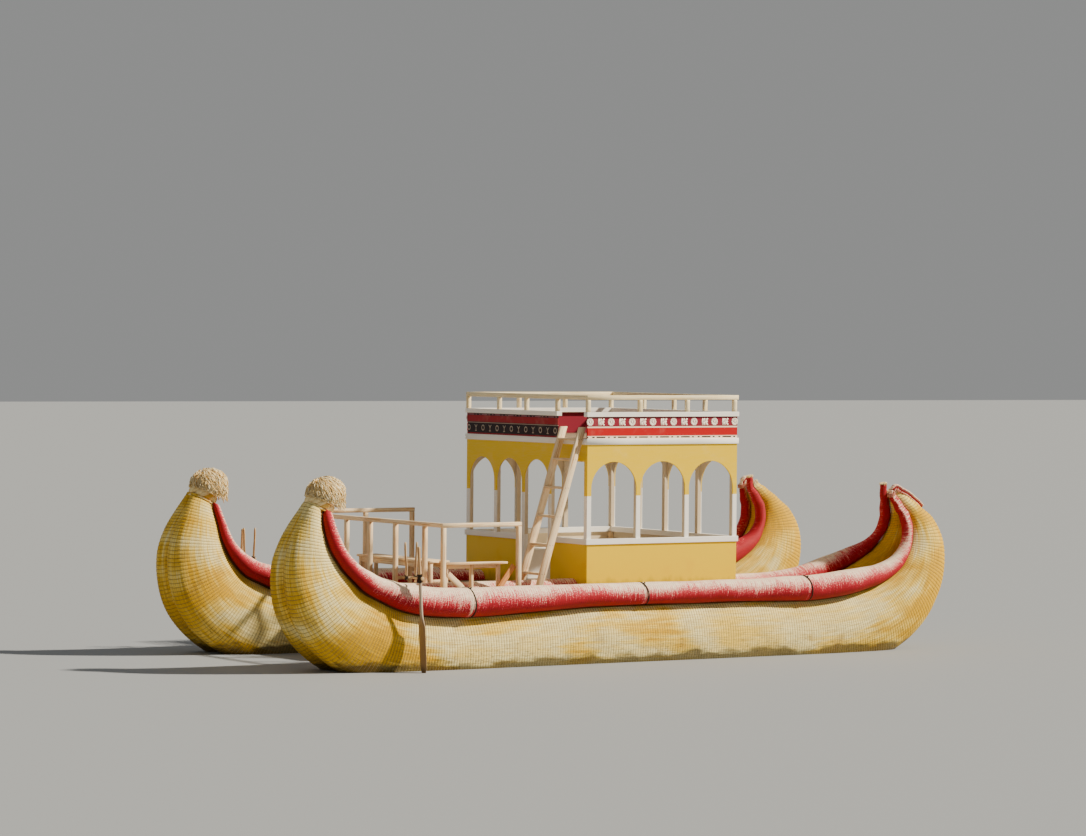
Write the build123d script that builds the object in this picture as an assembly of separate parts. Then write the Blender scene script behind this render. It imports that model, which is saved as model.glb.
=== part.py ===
from build123d import *

import os
from math import atan2, cos, hypot, pi, radians, sin, sqrt

# Double-hulled reed passenger boat, full size, in millimetres.
# +X points to the bow, +Y to port, +Z up. The origin is on the centreline at the waterline, mid length.

# Hull stations, stern tip to bow neck. x and z place the middle of the hull's section, climb is the angle
# of the hull's line there in degrees, and each hull is two reed bundles that meet on its own middle plane.
# The two gunwale rolls have their own radii, and the outer bundle's top is lower than the inner one's.
STATIONS = [
    # x, z, climb, half_width, half_height, outer_roll, inner_roll, outer_drop
    (-4765, 2303, -117, 115, 75, 55, 58, 0),
    (-4867, 2193, -118, 190, 112, 68, 76, 0),
    (-4995, 2034, -112, 260, 176, 80, 88, 30),
    (-5092, 1846, -104, 330, 287, 86, 95, 80),
    (-5122, 1572, -87, 410, 405, 92, 105, 125),
    (-5046, 1254, -66, 480, 490, 105, 120, 140),
    (-4805, 908, -45, 540, 570, 125, 140, 160),
    (-4470, 652, -30, 585, 618, 145, 150, 150),
    (-4089, 477, -19, 615, 632, 165, 160, 110),
    (-3490, 322, -9, 640, 612, 185, 165, 50),
    (-2600, 250, 0, 650, 600, 178, 165, 15),
    (-1600, 250, 0, 650, 600, 160, 165, 0),
    (500, 250, 0, 650, 600, 158, 165, 0),
    (3000, 250, 0, 650, 600, 206, 165, 80),
    (3826, 305, 10, 630, 596, 200, 165, 75),
    (4439, 469, 25.6, 585, 592, 168, 157, 45),
    (5000, 872, 54, 510, 543, 150, 145, 35),
    (5212, 1449, 85, 410, 434, 135, 112, 95),
    (5198, 1716, 97, 350, 354, 126, 92, 150),
    (5161, 1911, 101, 290, 286, 112, 74, 170),
    (5113, 2150, 106, 200, 190, 85, 62, 130),
    (5080, 2240, 115, 150, 165, 66, 56, 100),
]
stern_stub = (-4768, 2440, -100, 115, 75, 52)   # the inner roll goes on to here, past the bundles' tip
hull_spacing = 3514            # between the two hulls' middle planes
starboard_shortening = 0.985   # the starboard hull is a little shorter than the port one
finest_turn = 14               # stations are added where the hull's line turns by more degrees than this
shoulder_place = 0.42          # middle of a bundle's top arc, as a share of the half width
shoulder_radius = 0.47         # radius of that arc, as a share of the half width
roll_lean = radians(28.6)      # how far outboard of straight up a gunwale roll lies on the top arc
lashing_gap = 3                # between a roll and the bundle it is lashed to

# Bow: a wrapped band on the neck, and a head of reeds bent aft over it
band_length, band_shift = 120, 42
band_half_width, band_half_depth = 185, 205
head_radius, head_shift, head_rise = 245, 40, 60
bulge_radius, bulge_aft, bulge_rise = 215, 180, 67

# Stern: the outer roll's end goes on for a length, bends over the tip and lies down the aft slope
curl_radius, curl_bend, curl_start = 43, 62, 70
curl_route = [(-4690, 2398), (-4862, 2402), (-5122, 2190)]   # x, z of its later corners

# Deck
deck_z, board, board_gap = 980, 30, 6
beam_depth, beam_width = 98, 110
beam_half_length = 2030
beam_places = [-1750, -560, 540, 1700, 2860]
notch_gap = 3                  # round a beam where a gunwale roll lies over it
deck_half_width, deck_boards = 1080, 11
side_deck_inner, side_deck_outer = 1440, 2045
fore_deck_x, cabin_x, cabin_aft_x = 3060, 600, -1997

# Cabin: low panels, sills, arcades of round arches, roof, parapet and a rail on posts
cabin_half_width = 1630
wall, panel_thickness = 70, 30
sill_z, sill_thickness, sill_width = 1700, 78, 90
arch_top, ledge_bottom, roof_z = 2795, 3040, 3125
arch_board, arch_board_top = 24, 2915   # the arches are cut in thin board, up to the head rail behind it
ledge_overhang = 20
side_arches = 3
edge_strip = 12                # left beside the outermost openings of the front and aft walls
front_posts = [-1630, -860, -103, 606, 1560]   # starboard edge of each post of the front wall
aft_posts = [-1630, -880, -186, 673, 1560]
doorway_bay, ladder_bay = 2, 3
parapet_top, parapet_thickness, cap_top, cap_width = 3435, 28, 3502, 90
parapet_gap = 850              # the front parapet stops here, where the ladder comes up
roof_rail_top, roof_rail_depth, roof_rail_width = 3742, 66, 60
roof_post = 58
roof_side_posts = [-1983, -1150, -330, 556]
roof_front_posts = [-724, 21, 850]
roof_aft_posts = [-800, 0, 800]
corner_post = 64
bench_z, bench_board, bench_inner = 1410, 30, 1055

# Ladder: two leaning sides with flat treads
ladder_foot, ladder_head = (1358, deck_z), (631, 3290)     # x, z of each side's middle line
ladder_sides = (1030, 1560)
side_stock, side_width = 40, 110
tread_heights, tread_depth, tread_thickness = [1235, 1640, 2040, 2445, 2845, 3130], 112, 34

# Fore deck railing and benches
rail_top, rail_stock, rail_middle = 1970, 62, 1646
starboard_rail_top = 2040
port_rail_end, starboard_rail_end, rail_x = 1750, 1531, 2985
starboard_mid_post = 2320
front_rail_posts = [-1040, -370, 340]
front_roll_post, roll_post_foot = 1145, 1107   # y and foot of the post that stands on the inner roll
seat_z, plank, leg = 1415, 32, 50

# Oars: each hangs on a peg outboard of the gunwale, between two upright tholes
OARS = [
    # name, side, peg_x, peg_z, fore_foot, aft_foot of the thole's two sticks
    ("port", 1, 3860, 1274, 1240, 1206),
    ("starboard", -1, 3925, 1306, 1274, 1238),
]
peg_radius, peg_clearance = 14, 0.05
stop_radius, stop_thickness, stop_gap = 27, 14, 18
thole_radius, thole_top, thole_spread, thole_y = 17, 1755, 92, 2240
thole_bar_overhang = 20
oar_y = 2482                   # the shaft's middle where the peg goes through it
oar_lean = 5.4                 # degrees that the blade end stands outboard
shaft_radius, boss_radius, boss_length = 23, 40, 130
oar_above, oar_below = 430, 1330
blade_length, blade_width, blade_thickness, blade_taper = 840, 165, 26, 170


def box(x0, x1, y0, y1, z0, z1):
    """A block between two corners."""
    size = (x1 - x0, y1 - y0, z1 - z0)
    return Pos((x0 + x1) / 2, (y0 + y1) / 2, (z0 + z1) / 2) * Box(*size)


def side_box(side, x0, x1, y0, y1, z0, z1):
    """A block to port for side 1, and its mirror image to starboard for side -1."""
    low, high = sorted((side * y0, side * y1))
    return box(x0, x1, low, high, z0, z1)


def rod(start, end, radius):
    """A round bar between two points."""
    start, end = Vector(*start), Vector(*end)
    direction = end - start
    return extrude(Plane(origin=start, z_dir=direction) * Circle(radius), direction.length)


def fuse(shapes):
    """One solid from pieces that meet."""
    whole = shapes[0]
    for shape in shapes[1:]:
        whole += shape
    return whole


def save(name, shapes):
    """Writes one piece, of one or more solids, as its own file."""
    solids = [solid for shape in shapes for solid in shape.solids()]
    export_step(Compound(children=solids) if len(solids) > 1 else solids[0], f"parts/{name}.step")


# Hulls

def own_stations(stations, outer):
    """The stations of one bundle, as x, z, climb, half_width, half_height and its roll's radius."""
    result = []
    for x, z, climb, half_width, half_height, outer_roll, inner_roll, outer_drop in stations:
        drop = outer_drop / 2 if outer else 0
        x, z = x + drop * sin(radians(climb)), z - drop * cos(radians(climb))
        result.append((x, z, climb, half_width, half_height - drop, outer_roll if outer else inner_roll))
    return result


def place(station, middle_y, out, up):
    """A point of a station's section: out sideways from the hull's middle plane, up across its line."""
    x, z, climb = station[0], station[1], radians(station[2])
    return Vector(x - up * sin(climb), middle_y + out, z + up * cos(climb))


def bundle_section(station, middle_y, side):
    """One bundle's outline: a flat face on the hull's middle plane, two shoulder arcs and a side arc."""
    half_width, half_height = station[3], station[4]
    centre = shoulder_place * half_width
    radius = shoulder_radius * half_width
    rise = half_height - radius
    reach = half_width - centre
    side_radius = (reach**2 + rise**2 - radius**2) / (2 * (reach - radius))
    side_centre = half_width - side_radius
    joint = atan2(rise, centre - side_centre)
    crease = rise + sqrt(radius**2 - centre**2)
    middle = (atan2(crease - rise, -centre) + joint) / 2
    outline = [
        (0, crease),
        (centre + radius * cos(middle), rise + radius * sin(middle)),
        (side_centre + side_radius * cos(joint), side_radius * sin(joint)),
        (half_width, 0),
    ]
    top = [place(station, middle_y, side * out, up) for out, up in outline]
    bottom = [place(station, middle_y, side * out, -up) for out, up in reversed(outline[:3])]
    return Wire([
        Edge.make_line(bottom[2], top[0]),
        Edge.make_three_point_arc(top[0], top[1], top[2]),
        Edge.make_three_point_arc(top[2], top[3], bottom[0]),
        Edge.make_three_point_arc(bottom[0], bottom[1], bottom[2]),
    ])


def roll_centre(station, side):
    """Out and up of a gunwale roll's middle, where it lies against the bundle's top arc."""
    half_width, half_height, roll = station[3:6]
    radius = shoulder_radius * half_width
    reach = radius + roll + lashing_gap
    out = shoulder_place * half_width + reach * sin(roll_lean)
    return side * out, half_height - radius + reach * cos(roll_lean)


def roll_section(station, middle_y, side):
    """A round section of a gunwale roll, square to the hull's line, as three arcs from its top."""
    out, up = roll_centre(station, side)
    radius = station[5]
    turns = [pi / 2 + n * pi / 3 for n in range(6)]
    ring = [place(station, middle_y, out + side * radius * cos(t), up + radius * sin(t)) for t in turns]
    return Wire([Edge.make_three_point_arc(ring[n], ring[n + 1], ring[(n + 2) % 6]) for n in (0, 2, 4)])


def finer(stations, steepest):
    """Adds stations halfway along the curve where the line turns by more than a given angle."""
    result = [stations[0]]
    for a, b in zip(stations, stations[1:]):
        if abs(b[2] - a[2]) > steepest:
            reach = hypot(b[0] - a[0], b[1] - a[1]) / 8
            x = (a[0] + b[0]) / 2 + reach * (cos(radians(a[2])) - cos(radians(b[2])))
            z = (a[1] + b[1]) / 2 + reach * (sin(radians(a[2])) - sin(radians(b[2])))
            result.append((x, z, *[(p + q) / 2 for p, q in zip(a[2:], b[2:])]))
        result.append(b)
    return result


def loft_through(section, stations, middle_y, side):
    """A solid through one section for each station, straight from each to the next."""
    return Solid.make_loft([section(s, middle_y, side) for s in stations], True)


def inner_roll(stations, middle_y, side, beams):
    """An inner gunwale roll: two curved ends and a straight length notched over the cross beams."""
    level = [n for n, s in enumerate(stations) if s[2] == 0]
    aft, fore = stations[:level[0] + 1], stations[level[-1]:]
    out, up = roll_centre(aft[-1], side)
    y, z = middle_y + out, aft[-1][1] + up
    x0, x1 = aft[-1][0] + notch_gap, fore[0][0] - notch_gap
    straight = rod((x0, y, z), (x1, y, z), aft[-1][5])
    for x in beams:
        half = beam_width / 2 + notch_gap
        top = deck_z - board + notch_gap
        straight -= box(x - half, x + half, y - 300, y + 300, top - beam_depth - 2 * notch_gap, top)
    ends = [loft_through(roll_section, run, middle_y, side) for run in (aft, fore)]
    return [ends[0], straight, ends[1]]


def bow_end(station, middle_y):
    """Plane on the end of the neck, with its local Z along the neck and local X to port."""
    x, z, climb = station[:3]
    direction = (cos(radians(climb)), 0, sin(radians(climb)))
    return Plane(origin=(x, middle_y, z), x_dir=(0, 1, 0), z_dir=direction)


def bow_head(neck):
    """Reeds bent aft over the band: a low dome with a round bulge of cut ends behind it."""
    base = neck.offset(band_length)
    dome = base * Pos(0, head_shift, head_rise) * Sphere(head_radius)
    origin = base.origin
    bulge = Pos(origin.X - bulge_aft, origin.Y, origin.Z + bulge_rise) * Sphere(bulge_radius)
    below = base * Pos(0, 0, -500) * Box(2000, 2000, 1000)
    return (dome + bulge) - below


def stern_curl(station, middle_y, side, scale):
    """The outer roll's end: up over the tip and down the aft slope, to a cut face."""
    out, up = roll_centre(station, side)
    climb = radians(station[2])
    back = Vector(-cos(climb), 0, -sin(climb))
    first = place(station, middle_y, out, up) + back * 2
    shift = station[0] * (1 - 1 / scale)
    later = [Vector(x + shift, first.Y, z) for x, z in curl_route]
    path = FilletPolyline(first, first + back * curl_start, *later, radius=curl_bend)
    return sweep(Plane(origin=path @ 0, z_dir=path % 0) * Circle(curl_radius), path=path)


def make_hull(name, middle_y, scale):
    """Writes the bundles, gunwale rolls, bow band, bow head and stern curl of one hull."""
    stations = [(s[0] * scale, *s[1:]) for s in finer(STATIONS, finest_turn)]
    stub = (stern_stub[0] * scale, *stern_stub[1:])
    outboard = 1 if middle_y > 0 else -1
    outer, inner = own_stations(stations, True), own_stations(stations, False)
    save(f"{name}_outer_bundle", [loft_through(bundle_section, outer, middle_y, outboard)])
    save(f"{name}_inner_bundle", [loft_through(bundle_section, inner, middle_y, -outboard)])
    save(f"{name}_outer_gunwale_roll", [loft_through(roll_section, outer, middle_y, outboard)])
    save(f"{name}_inner_gunwale_roll", inner_roll([stub, *inner], middle_y, -outboard, beam_places))
    neck = bow_end(stations[-1], middle_y)
    band = extrude(neck * Pos(0, band_shift) * Ellipse(band_half_width, band_half_depth), band_length)
    save(f"{name}_bow_band", [band])
    save(f"{name}_bow_head", [bow_head(neck)])
    save(f"{name}_stern_curl", [stern_curl(outer[0], middle_y, outboard, scale)])


# Deck

def boards(x0, x1, y0, y1, count):
    """Deck boards running fore and aft, with grooves between them."""
    deck = box(x0, x1, y0, y1, deck_z - board, deck_z)
    step = (y1 - y0) / count
    for n in range(1, count):
        y = y0 + n * step
        deck -= box(x0, x1, y - board_gap / 2, y + board_gap / 2, deck_z - board / 2, deck_z)
    return deck


def make_deck():
    """Cross beams, the boards between the inner rolls, and the boards in each hull's own trough."""
    top = deck_z - board
    half = beam_width / 2
    save("cross_beams", [
        box(x - half, x + half, -beam_half_length, beam_half_length, top - beam_depth, top)
        for x in beam_places
    ])
    save("fore_deck", [boards(cabin_x, fore_deck_x, -deck_half_width, deck_half_width, deck_boards)])
    save("cabin_floor", [boards(cabin_aft_x, cabin_x, -deck_half_width, deck_half_width, deck_boards)])
    for name, side in (("port", 1), ("starboard", -1)):
        y0, y1 = sorted((side * side_deck_inner, side * side_deck_outer))
        save(f"{name}_side_deck", [boards(cabin_aft_x, fore_deck_x, y0, y1, 3)])


# Cabin

def arch(width, top, bottom):
    """The outline of a round-headed opening, centred across, on its own plane."""
    radius = width / 2
    spring = top - radius
    return Pos(0, (bottom + spring) / 2) * Rectangle(width, spring - bottom) + Pos(0, spring) * Circle(radius)


def side_arcade(side):
    """A side wall above its sill: posts with a round arch in thin board between each pair."""
    panel = side_box(side, cabin_aft_x, cabin_x, cabin_half_width - wall, cabin_half_width, sill_z, ledge_bottom)
    pitch = (cabin_x - cabin_aft_x - wall) / side_arches
    half = (pitch - wall) / 2
    for n in range(side_arches):
        middle = cabin_aft_x + wall / 2 + (n + 0.5) * pitch
        panel -= side_box(side, middle - half, middle + half, cabin_half_width - wall - 50,
                          cabin_half_width - arch_board, arch_top - half, arch_board_top)
        plane = Plane(origin=(middle, side * cabin_half_width + 100, 0), x_dir=(1, 0, 0), z_dir=(0, -1, 0))
        panel -= extrude(plane * arch(pitch - wall, arch_top, sill_z - 50), 200)
    return panel


def end_arcade(x0, x1, posts, behind=None, square_bay=None):
    """The front or aft wall above its sill, between the side walls; behind is the room inside a thin arch board."""
    inside = cabin_half_width - wall
    panel = box(x0, x1, -inside, inside, sill_z, ledge_bottom)
    for n, (start, end) in enumerate(zip(posts, posts[1:])):
        low, high = max(start + wall, edge_strip - inside), min(end, inside - edge_strip)
        if n == square_bay:
            panel -= box(x0 - 50, x1 + 50, low, high, sill_z - 50, arch_top)
        else:
            plane = Plane(origin=(x0 - 50, (low + high) / 2, 0), x_dir=(0, 1, 0), z_dir=(1, 0, 0))
            panel -= extrude(plane * arch(high - low, arch_top, sill_z - 50), 200)
            if behind:
                panel -= box(*behind, low, high, arch_top - (high - low) / 2, arch_board_top)
    return panel


def end_panel(x0, y0, y1, rolls_y, roll_z, roll_radius):
    """A low wall panel across the boat, notched over the inner gunwale rolls."""
    panel = box(x0, x0 + panel_thickness, y0, y1, deck_z, sill_z - sill_thickness)
    for y in rolls_y:
        panel -= rod((x0 - 50, y, roll_z), (x0 + 80, y, roll_z), roll_radius + notch_gap)
    return panel


def make_walls():
    """Low panels, door jambs, corner posts, sills and arcades."""
    level = next(s for s in own_stations(STATIONS, False) if s[2] == 0)
    roll = level[5]
    out, up = roll_centre(level, -1)
    roll_y, roll_z = hull_spacing / 2 + out, level[1] + up
    inside = cabin_half_width - wall
    skin = cabin_half_width - panel_thickness
    panel_top = sill_z - sill_thickness
    edge = cabin_half_width + ledge_overhang
    fore, aft = cabin_x + ledge_overhang, cabin_aft_x - ledge_overhang
    jambs = [front_posts[doorway_bay], front_posts[doorway_bay + 1]]

    for name, side in (("port", 1), ("starboard", -1)):
        save(f"{name}_wall_panel", [
            side_box(side, cabin_aft_x, cabin_x, skin, cabin_half_width, deck_z, panel_top)])
        save(f"{name}_sill", [side_box(side, aft, fore, edge - sill_width, edge, panel_top, sill_z)])
        save(f"{name}_arcade", [side_arcade(side)])
    front = cabin_x - panel_thickness
    save("front_starboard_panel", [end_panel(front, -skin, jambs[0], [-roll_y], roll_z, roll)])
    save("front_port_panel", [end_panel(front, jambs[1] + wall, skin, [roll_y], roll_z, roll)])
    save("aft_wall_panel", [end_panel(cabin_aft_x, -skin, skin, [-roll_y, roll_y], roll_z, roll)])
    save("doorway_jambs", [box(cabin_x - wall, cabin_x, y, y + wall, deck_z, sill_z) for y in jambs])
    sill_end = edge - sill_width
    save("front_sills", [
        box(fore - sill_width, fore, -sill_end, jambs[0], panel_top, sill_z),
        box(fore - sill_width, fore, jambs[1] + wall, sill_end, panel_top, sill_z)])
    save("aft_sill", [box(aft, aft + sill_width, -sill_end, sill_end, panel_top, sill_z)])
    save("front_arcade", [end_arcade(cabin_x - wall, cabin_x, front_posts, square_bay=ladder_bay)])
    behind = (cabin_aft_x + arch_board, cabin_aft_x + wall + 50)
    save("aft_arcade", [end_arcade(cabin_aft_x, cabin_aft_x + wall, aft_posts, behind)])
    posts = [
        side_box(side, x, x + corner_post, skin - corner_post, skin, deck_z, panel_top)
        for side in (1, -1)
        for x in (cabin_aft_x + panel_thickness, front - corner_post)
    ]
    save("corner_posts", posts)
    for name, side in (("port", 1), ("starboard", -1)):
        x0 = cabin_aft_x + panel_thickness + corner_post + 10
        x1 = front - corner_post - 10
        seat = side_box(side, x0, x1, bench_inner, skin, bench_z - bench_board, bench_z)
        riser = side_box(side, x0, x1, bench_inner, bench_inner + 20, deck_z, bench_z - bench_board)
        back = side_box(side, x0, x1, skin - 20, skin, deck_z, bench_z - bench_board)
        save(f"{name}_cabin_bench", [fuse([seat, riser, back])])


def make_roof():
    """Roof boards with their ledge, the parapet round it, its cap, and a rail on posts."""
    edge = cabin_half_width + ledge_overhang
    fore, aft = cabin_x + ledge_overhang, cabin_aft_x - ledge_overhang
    skin = cabin_half_width - parapet_thickness
    save("roof", [box(aft, fore, -edge, edge, ledge_bottom, roof_z)])
    for name, side in (("port", 1), ("starboard", -1)):
        save(f"{name}_parapet", [
            side_box(side, cabin_aft_x, cabin_x, skin, cabin_half_width, roof_z, parapet_top)])
    save("front_parapet", [
        box(cabin_x - parapet_thickness, cabin_x, -skin, parapet_gap, roof_z, parapet_top)])
    save("aft_parapet", [
        box(cabin_aft_x, cabin_aft_x + parapet_thickness, -skin, skin, roof_z, parapet_top)])
    inner = edge - cap_width
    cap = fuse([
        box(aft, fore, inner, edge, parapet_top, cap_top),
        box(aft, fore, -edge, -inner, parapet_top, cap_top),
        box(aft, aft + cap_width, -inner, inner, parapet_top, cap_top),
        box(fore - cap_width, fore, -inner, parapet_gap, parapet_top, cap_top)])
    save("parapet_cap", [cap])

    low = roof_rail_top - roof_rail_depth
    outside, inside = edge - 5, edge - 5 - roof_rail_width
    rail_fore, rail_aft = fore - 5, aft + 5
    ring = [
        box(rail_aft, rail_fore, inside, outside, low, roof_rail_top),
        box(rail_aft, rail_fore, -outside, -inside, low, roof_rail_top),
        box(rail_aft, rail_aft + roof_rail_width, -inside, inside, low, roof_rail_top),
        box(rail_fore - roof_rail_width, rail_fore, -inside, inside, low, roof_rail_top)]
    posts = [
        side_box(side, x, x + roof_post, outside - roof_post, outside, cap_top, low)
        for side in (1, -1)
        for x in roof_side_posts]
    posts += [box(rail_fore - roof_post, rail_fore, y - roof_post, y, cap_top, low) for y in roof_front_posts]
    posts += [box(rail_aft, rail_aft + roof_post, y, y + roof_post, cap_top, low) for y in roof_aft_posts]
    save("roof_rail", [fuse(ring + posts)])


# Ladder, railing and benches

def make_ladder():
    """Two sides that lean on the roof's edge, with flat treads between them."""
    (x0, z0), (x1, z1) = ladder_foot, ladder_head
    slope = (x1 - x0) / (z1 - z0)
    half = side_width / 2 * hypot(1, slope)
    outline = Polyline((x0 - half, z0), (x0 + half, z0), (x1 + half, z1), (x1 - half, z1), close=True)
    pieces = []
    for y in (ladder_sides[0] + side_stock, ladder_sides[1]):
        plane = Plane(origin=(0, y, 0), x_dir=(1, 0, 0), z_dir=(0, -1, 0))
        pieces.append(extrude(plane * make_face(outline), side_stock))
    for z in tread_heights:
        x = x0 + slope * (z - z0)
        y0, y1 = ladder_sides[0] + side_stock, ladder_sides[1] - side_stock
        pieces.append(box(x - tread_depth / 2, x + tread_depth / 2, y0, y1, z - tread_thickness, z))
    save("ladder", [fuse(pieces)])


def post(x, y, bottom, top):
    """One post of the fore deck's railing."""
    half = rail_stock / 2
    return box(x - half, x + half, y - half, y + half, bottom, top)


def make_railing():
    """Rails on posts along both sides and across the front of the fore deck."""
    half = rail_stock / 2
    runs = (
        ("port", rail_middle, rail_top, [port_rail_end, rail_x]),
        ("starboard", -rail_middle, starboard_rail_top, [starboard_rail_end, starboard_mid_post, rail_x]))
    for name, y, top, places in runs:
        rail = box(places[0] - half, rail_x + half, y - half, y + half, top - rail_stock, top)
        save(f"{name}_deck_rail", [fuse([rail] + [post(x, y, deck_z, top - rail_stock) for x in places])])
    inside = rail_middle - half
    low = rail_top - rail_stock
    rail = box(rail_x - half, rail_x + half, -inside, inside, low, rail_top)
    posts = [post(rail_x, y, deck_z, low) for y in front_rail_posts]
    posts.append(post(rail_x, front_roll_post, roll_post_foot, low))
    save("front_deck_rail", [fuse([rail] + posts)])


def make_benches():
    """A plank bench with a back board along the front rail, and one along the port rail."""
    low = seat_z - plank
    seat = box(2520, 2860, -980, 1060, low, seat_z)
    legs = [box(x, x + leg, y, y + leg, deck_z, low) for x in (2540, 2790) for y in (-940, 20, 1000)]
    save("front_bench", [fuse([seat] + legs)])
    side_seat = box(1900, 2900, 1450, 1606, low, seat_z)
    side_legs = [box(x, x + leg, 1455, 1455 + leg, deck_z, low) for x in (1960, 2400, 2830)]
    save("side_bench", [fuse([side_seat] + side_legs)])


# Oars

def make_thole(name, side, peg_x, peg_z, feet):
    """Two upright sticks on the outer roll, a bar across them, and the peg that carries the oar."""
    y = side * thole_y
    sticks = [
        rod((peg_x + n * thole_spread * 0.75, y, foot), (peg_x + n * thole_spread, y, thole_top), thole_radius)
        for n, foot in zip((1, -1), feet)]
    reach = thole_spread + thole_bar_overhang
    bar = rod((peg_x - reach, y, peg_z), (peg_x + reach, y, peg_z), peg_radius)
    stop = side * (oar_y + boss_radius + stop_gap)
    peg = rod((peg_x, y, peg_z), (peg_x, stop, peg_z), peg_radius)
    knob = rod((peg_x, stop, peg_z), (peg_x, stop + side * stop_thickness, peg_z), stop_radius)
    save(f"{name}_thole", [fuse([*sticks, bar, peg, knob])])


def make_oar(name, side, peg_x, peg_z):
    """A straight shaft with a lashed boss on the peg and a long flat blade across the boat."""
    shaft = Pos(0, 0, (oar_above - oar_below + blade_taper) / 2) * Cylinder(
        shaft_radius, oar_above + oar_below - blade_taper)
    boss = Cylinder(boss_radius, boss_length)
    top, tip, half = blade_length - oar_below, -oar_below, blade_width / 2
    outline = Polyline(
        (-shaft_radius, top), (-half, top - blade_taper), (-half, tip + blade_taper), (-half * 0.3, tip),
        (half * 0.3, tip), (half, tip + blade_taper), (half, top - blade_taper), (shaft_radius, top), close=True)
    plane = Plane(origin=(-blade_thickness / 2, 0, 0), x_dir=(0, 1, 0), z_dir=(1, 0, 0))
    blade = extrude(plane * make_face(outline), blade_thickness)
    oar = Pos(peg_x, side * oar_y, peg_z) * Rot(side * oar_lean, 0, 0) * fuse([shaft, boss, blade])
    hole = rod((peg_x, side * (oar_y - 200), peg_z), (peg_x, side * (oar_y + 200), peg_z), peg_radius + peg_clearance)
    save(f"{name}_oar", [oar - hole])


os.makedirs("parts", exist_ok=True)
make_hull("port", hull_spacing / 2, 1)
make_hull("starboard", -hull_spacing / 2, starboard_shortening)
make_deck()
make_walls()
make_roof()
make_ladder()
make_railing()
make_benches()
for name, side, peg_x, peg_z, *feet in OARS:
    make_thole(name, side, peg_x, peg_z, feet)
    make_oar(name, side, peg_x, peg_z)
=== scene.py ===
import bmesh
import bpy
import numpy as np
from functools import partial
from math import cos, pi, radians, sin
from mathutils import Matrix, Vector


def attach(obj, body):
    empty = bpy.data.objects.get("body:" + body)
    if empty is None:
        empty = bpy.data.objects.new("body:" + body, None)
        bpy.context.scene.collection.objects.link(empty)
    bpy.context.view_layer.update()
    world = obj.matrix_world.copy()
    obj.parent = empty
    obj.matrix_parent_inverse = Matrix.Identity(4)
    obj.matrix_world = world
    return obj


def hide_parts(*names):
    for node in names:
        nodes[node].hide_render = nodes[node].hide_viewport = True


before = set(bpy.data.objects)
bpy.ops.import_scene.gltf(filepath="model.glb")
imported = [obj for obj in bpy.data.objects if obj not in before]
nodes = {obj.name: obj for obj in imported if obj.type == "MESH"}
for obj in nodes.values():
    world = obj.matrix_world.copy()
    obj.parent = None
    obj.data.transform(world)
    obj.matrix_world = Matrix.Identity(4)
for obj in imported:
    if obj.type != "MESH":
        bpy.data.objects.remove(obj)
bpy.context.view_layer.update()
print("frame:", len(nodes), "nodes")


# Nodes, and the patterns that several materials share

smooth = {"interpolation_type": "SMOOTHSTEP"}     # makes a Map Range node go from 0 to 1 in a smooth step
times, plus, minus, timesPlus = ({"operation": word} for word in ("MULTIPLY", "ADD", "SUBTRACT", "MULTIPLY_ADD"))


def linear(hexColour):
    # sRGB hex to linear red, green, blue and alpha
    parts = [int(hexColour[n:n + 2], 16) / 255 for n in (1, 3, 5)]
    return [p / 12.92 if p <= 0.04045 else ((p + 0.055) / 1.055) ** 2.4 for p in parts] + [1.0]


def addNode(tree, kind, inputs=(), out=0, stops=(), **settings):
    # one shader node, and the socket that it gives. Inputs are a list in the node's order or a dictionary by name,
    # each a number, a hex colour or a socket to link; stops are a colour ramp's places and hex colours
    node = tree.nodes.new("ShaderNode" + kind)
    for key, value in settings.items():
        setattr(node, key, value)
    for key, value in inputs.items() if isinstance(inputs, dict) else enumerate(inputs):
        if isinstance(value, bpy.types.NodeSocket):
            tree.links.new(value, node.inputs[key])
        else:
            node.inputs[key].default_value = linear(value) if isinstance(value, str) else value
    for n, (place, colour) in enumerate(stops):
        elements = node.color_ramp.elements
        stop = elements[n] if n < len(elements) else elements.new(place)
        stop.position, stop.color = place, linear(colour)
    return node.outputs[out]


def newMaterial(name, roughness, specular=0.5, metallic=0.0):
    # an empty material, and addNode for its own tree
    material = bpy.data.materials.new(name)
    material.use_nodes = True
    inputs = material.node_tree.nodes["Principled BSDF"].inputs
    for key, value in (("Roughness", roughness), ("Specular IOR Level", specular), ("Metallic", metallic)):
        inputs[key].default_value = value
    return material, partial(addNode, material.node_tree)


def finish(material, colour, height, strength, distance, roughness=None):
    # links the colour and roughness to the shader, and the height through a bump in metres
    tree = material.node_tree
    bump = addNode(tree, "Bump", {"Strength": strength, "Distance": distance, "Height": height})
    for key, socket in (("Base Color", colour), ("Normal", bump), ("Roughness", roughness)):
        if socket is not None:
            tree.links.new(socket, tree.nodes["Principled BSDF"].inputs[key])
    return material


def axis(add, letter, space="Object"):
    # one coordinate, in the object's metres or on the piece's own map; the object's Z is the height over the water
    return add("SeparateXYZ", [add("TexCoord", out=space)], out=letter)


def tintOf(add):
    # the value that each point of a piece carries
    return add("Attribute", attribute_name="tint", out="Fac")


def grain(add, across, along, detail=4.0):
    # noise drawn out along the piece, on its own map in metres
    spot = add("Mapping", {"Vector": add("TexCoord", out="UV"), "Scale": (along, across, 1)})
    return add("TexNoise", {"Vector": spot, "Scale": 1.0, "Detail": detail, "Roughness": 0.6}, noise_dimensions="2D")


def blotches(add, scale, detail=3.0, stretch=(1, 1, 1)):
    # noise in the object's own metres
    spot = add("Mapping", {"Vector": add("TexCoord", out="Object"), "Scale": stretch})
    return add("TexNoise", {"Vector": spot, "Scale": scale, "Detail": detail})


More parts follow.
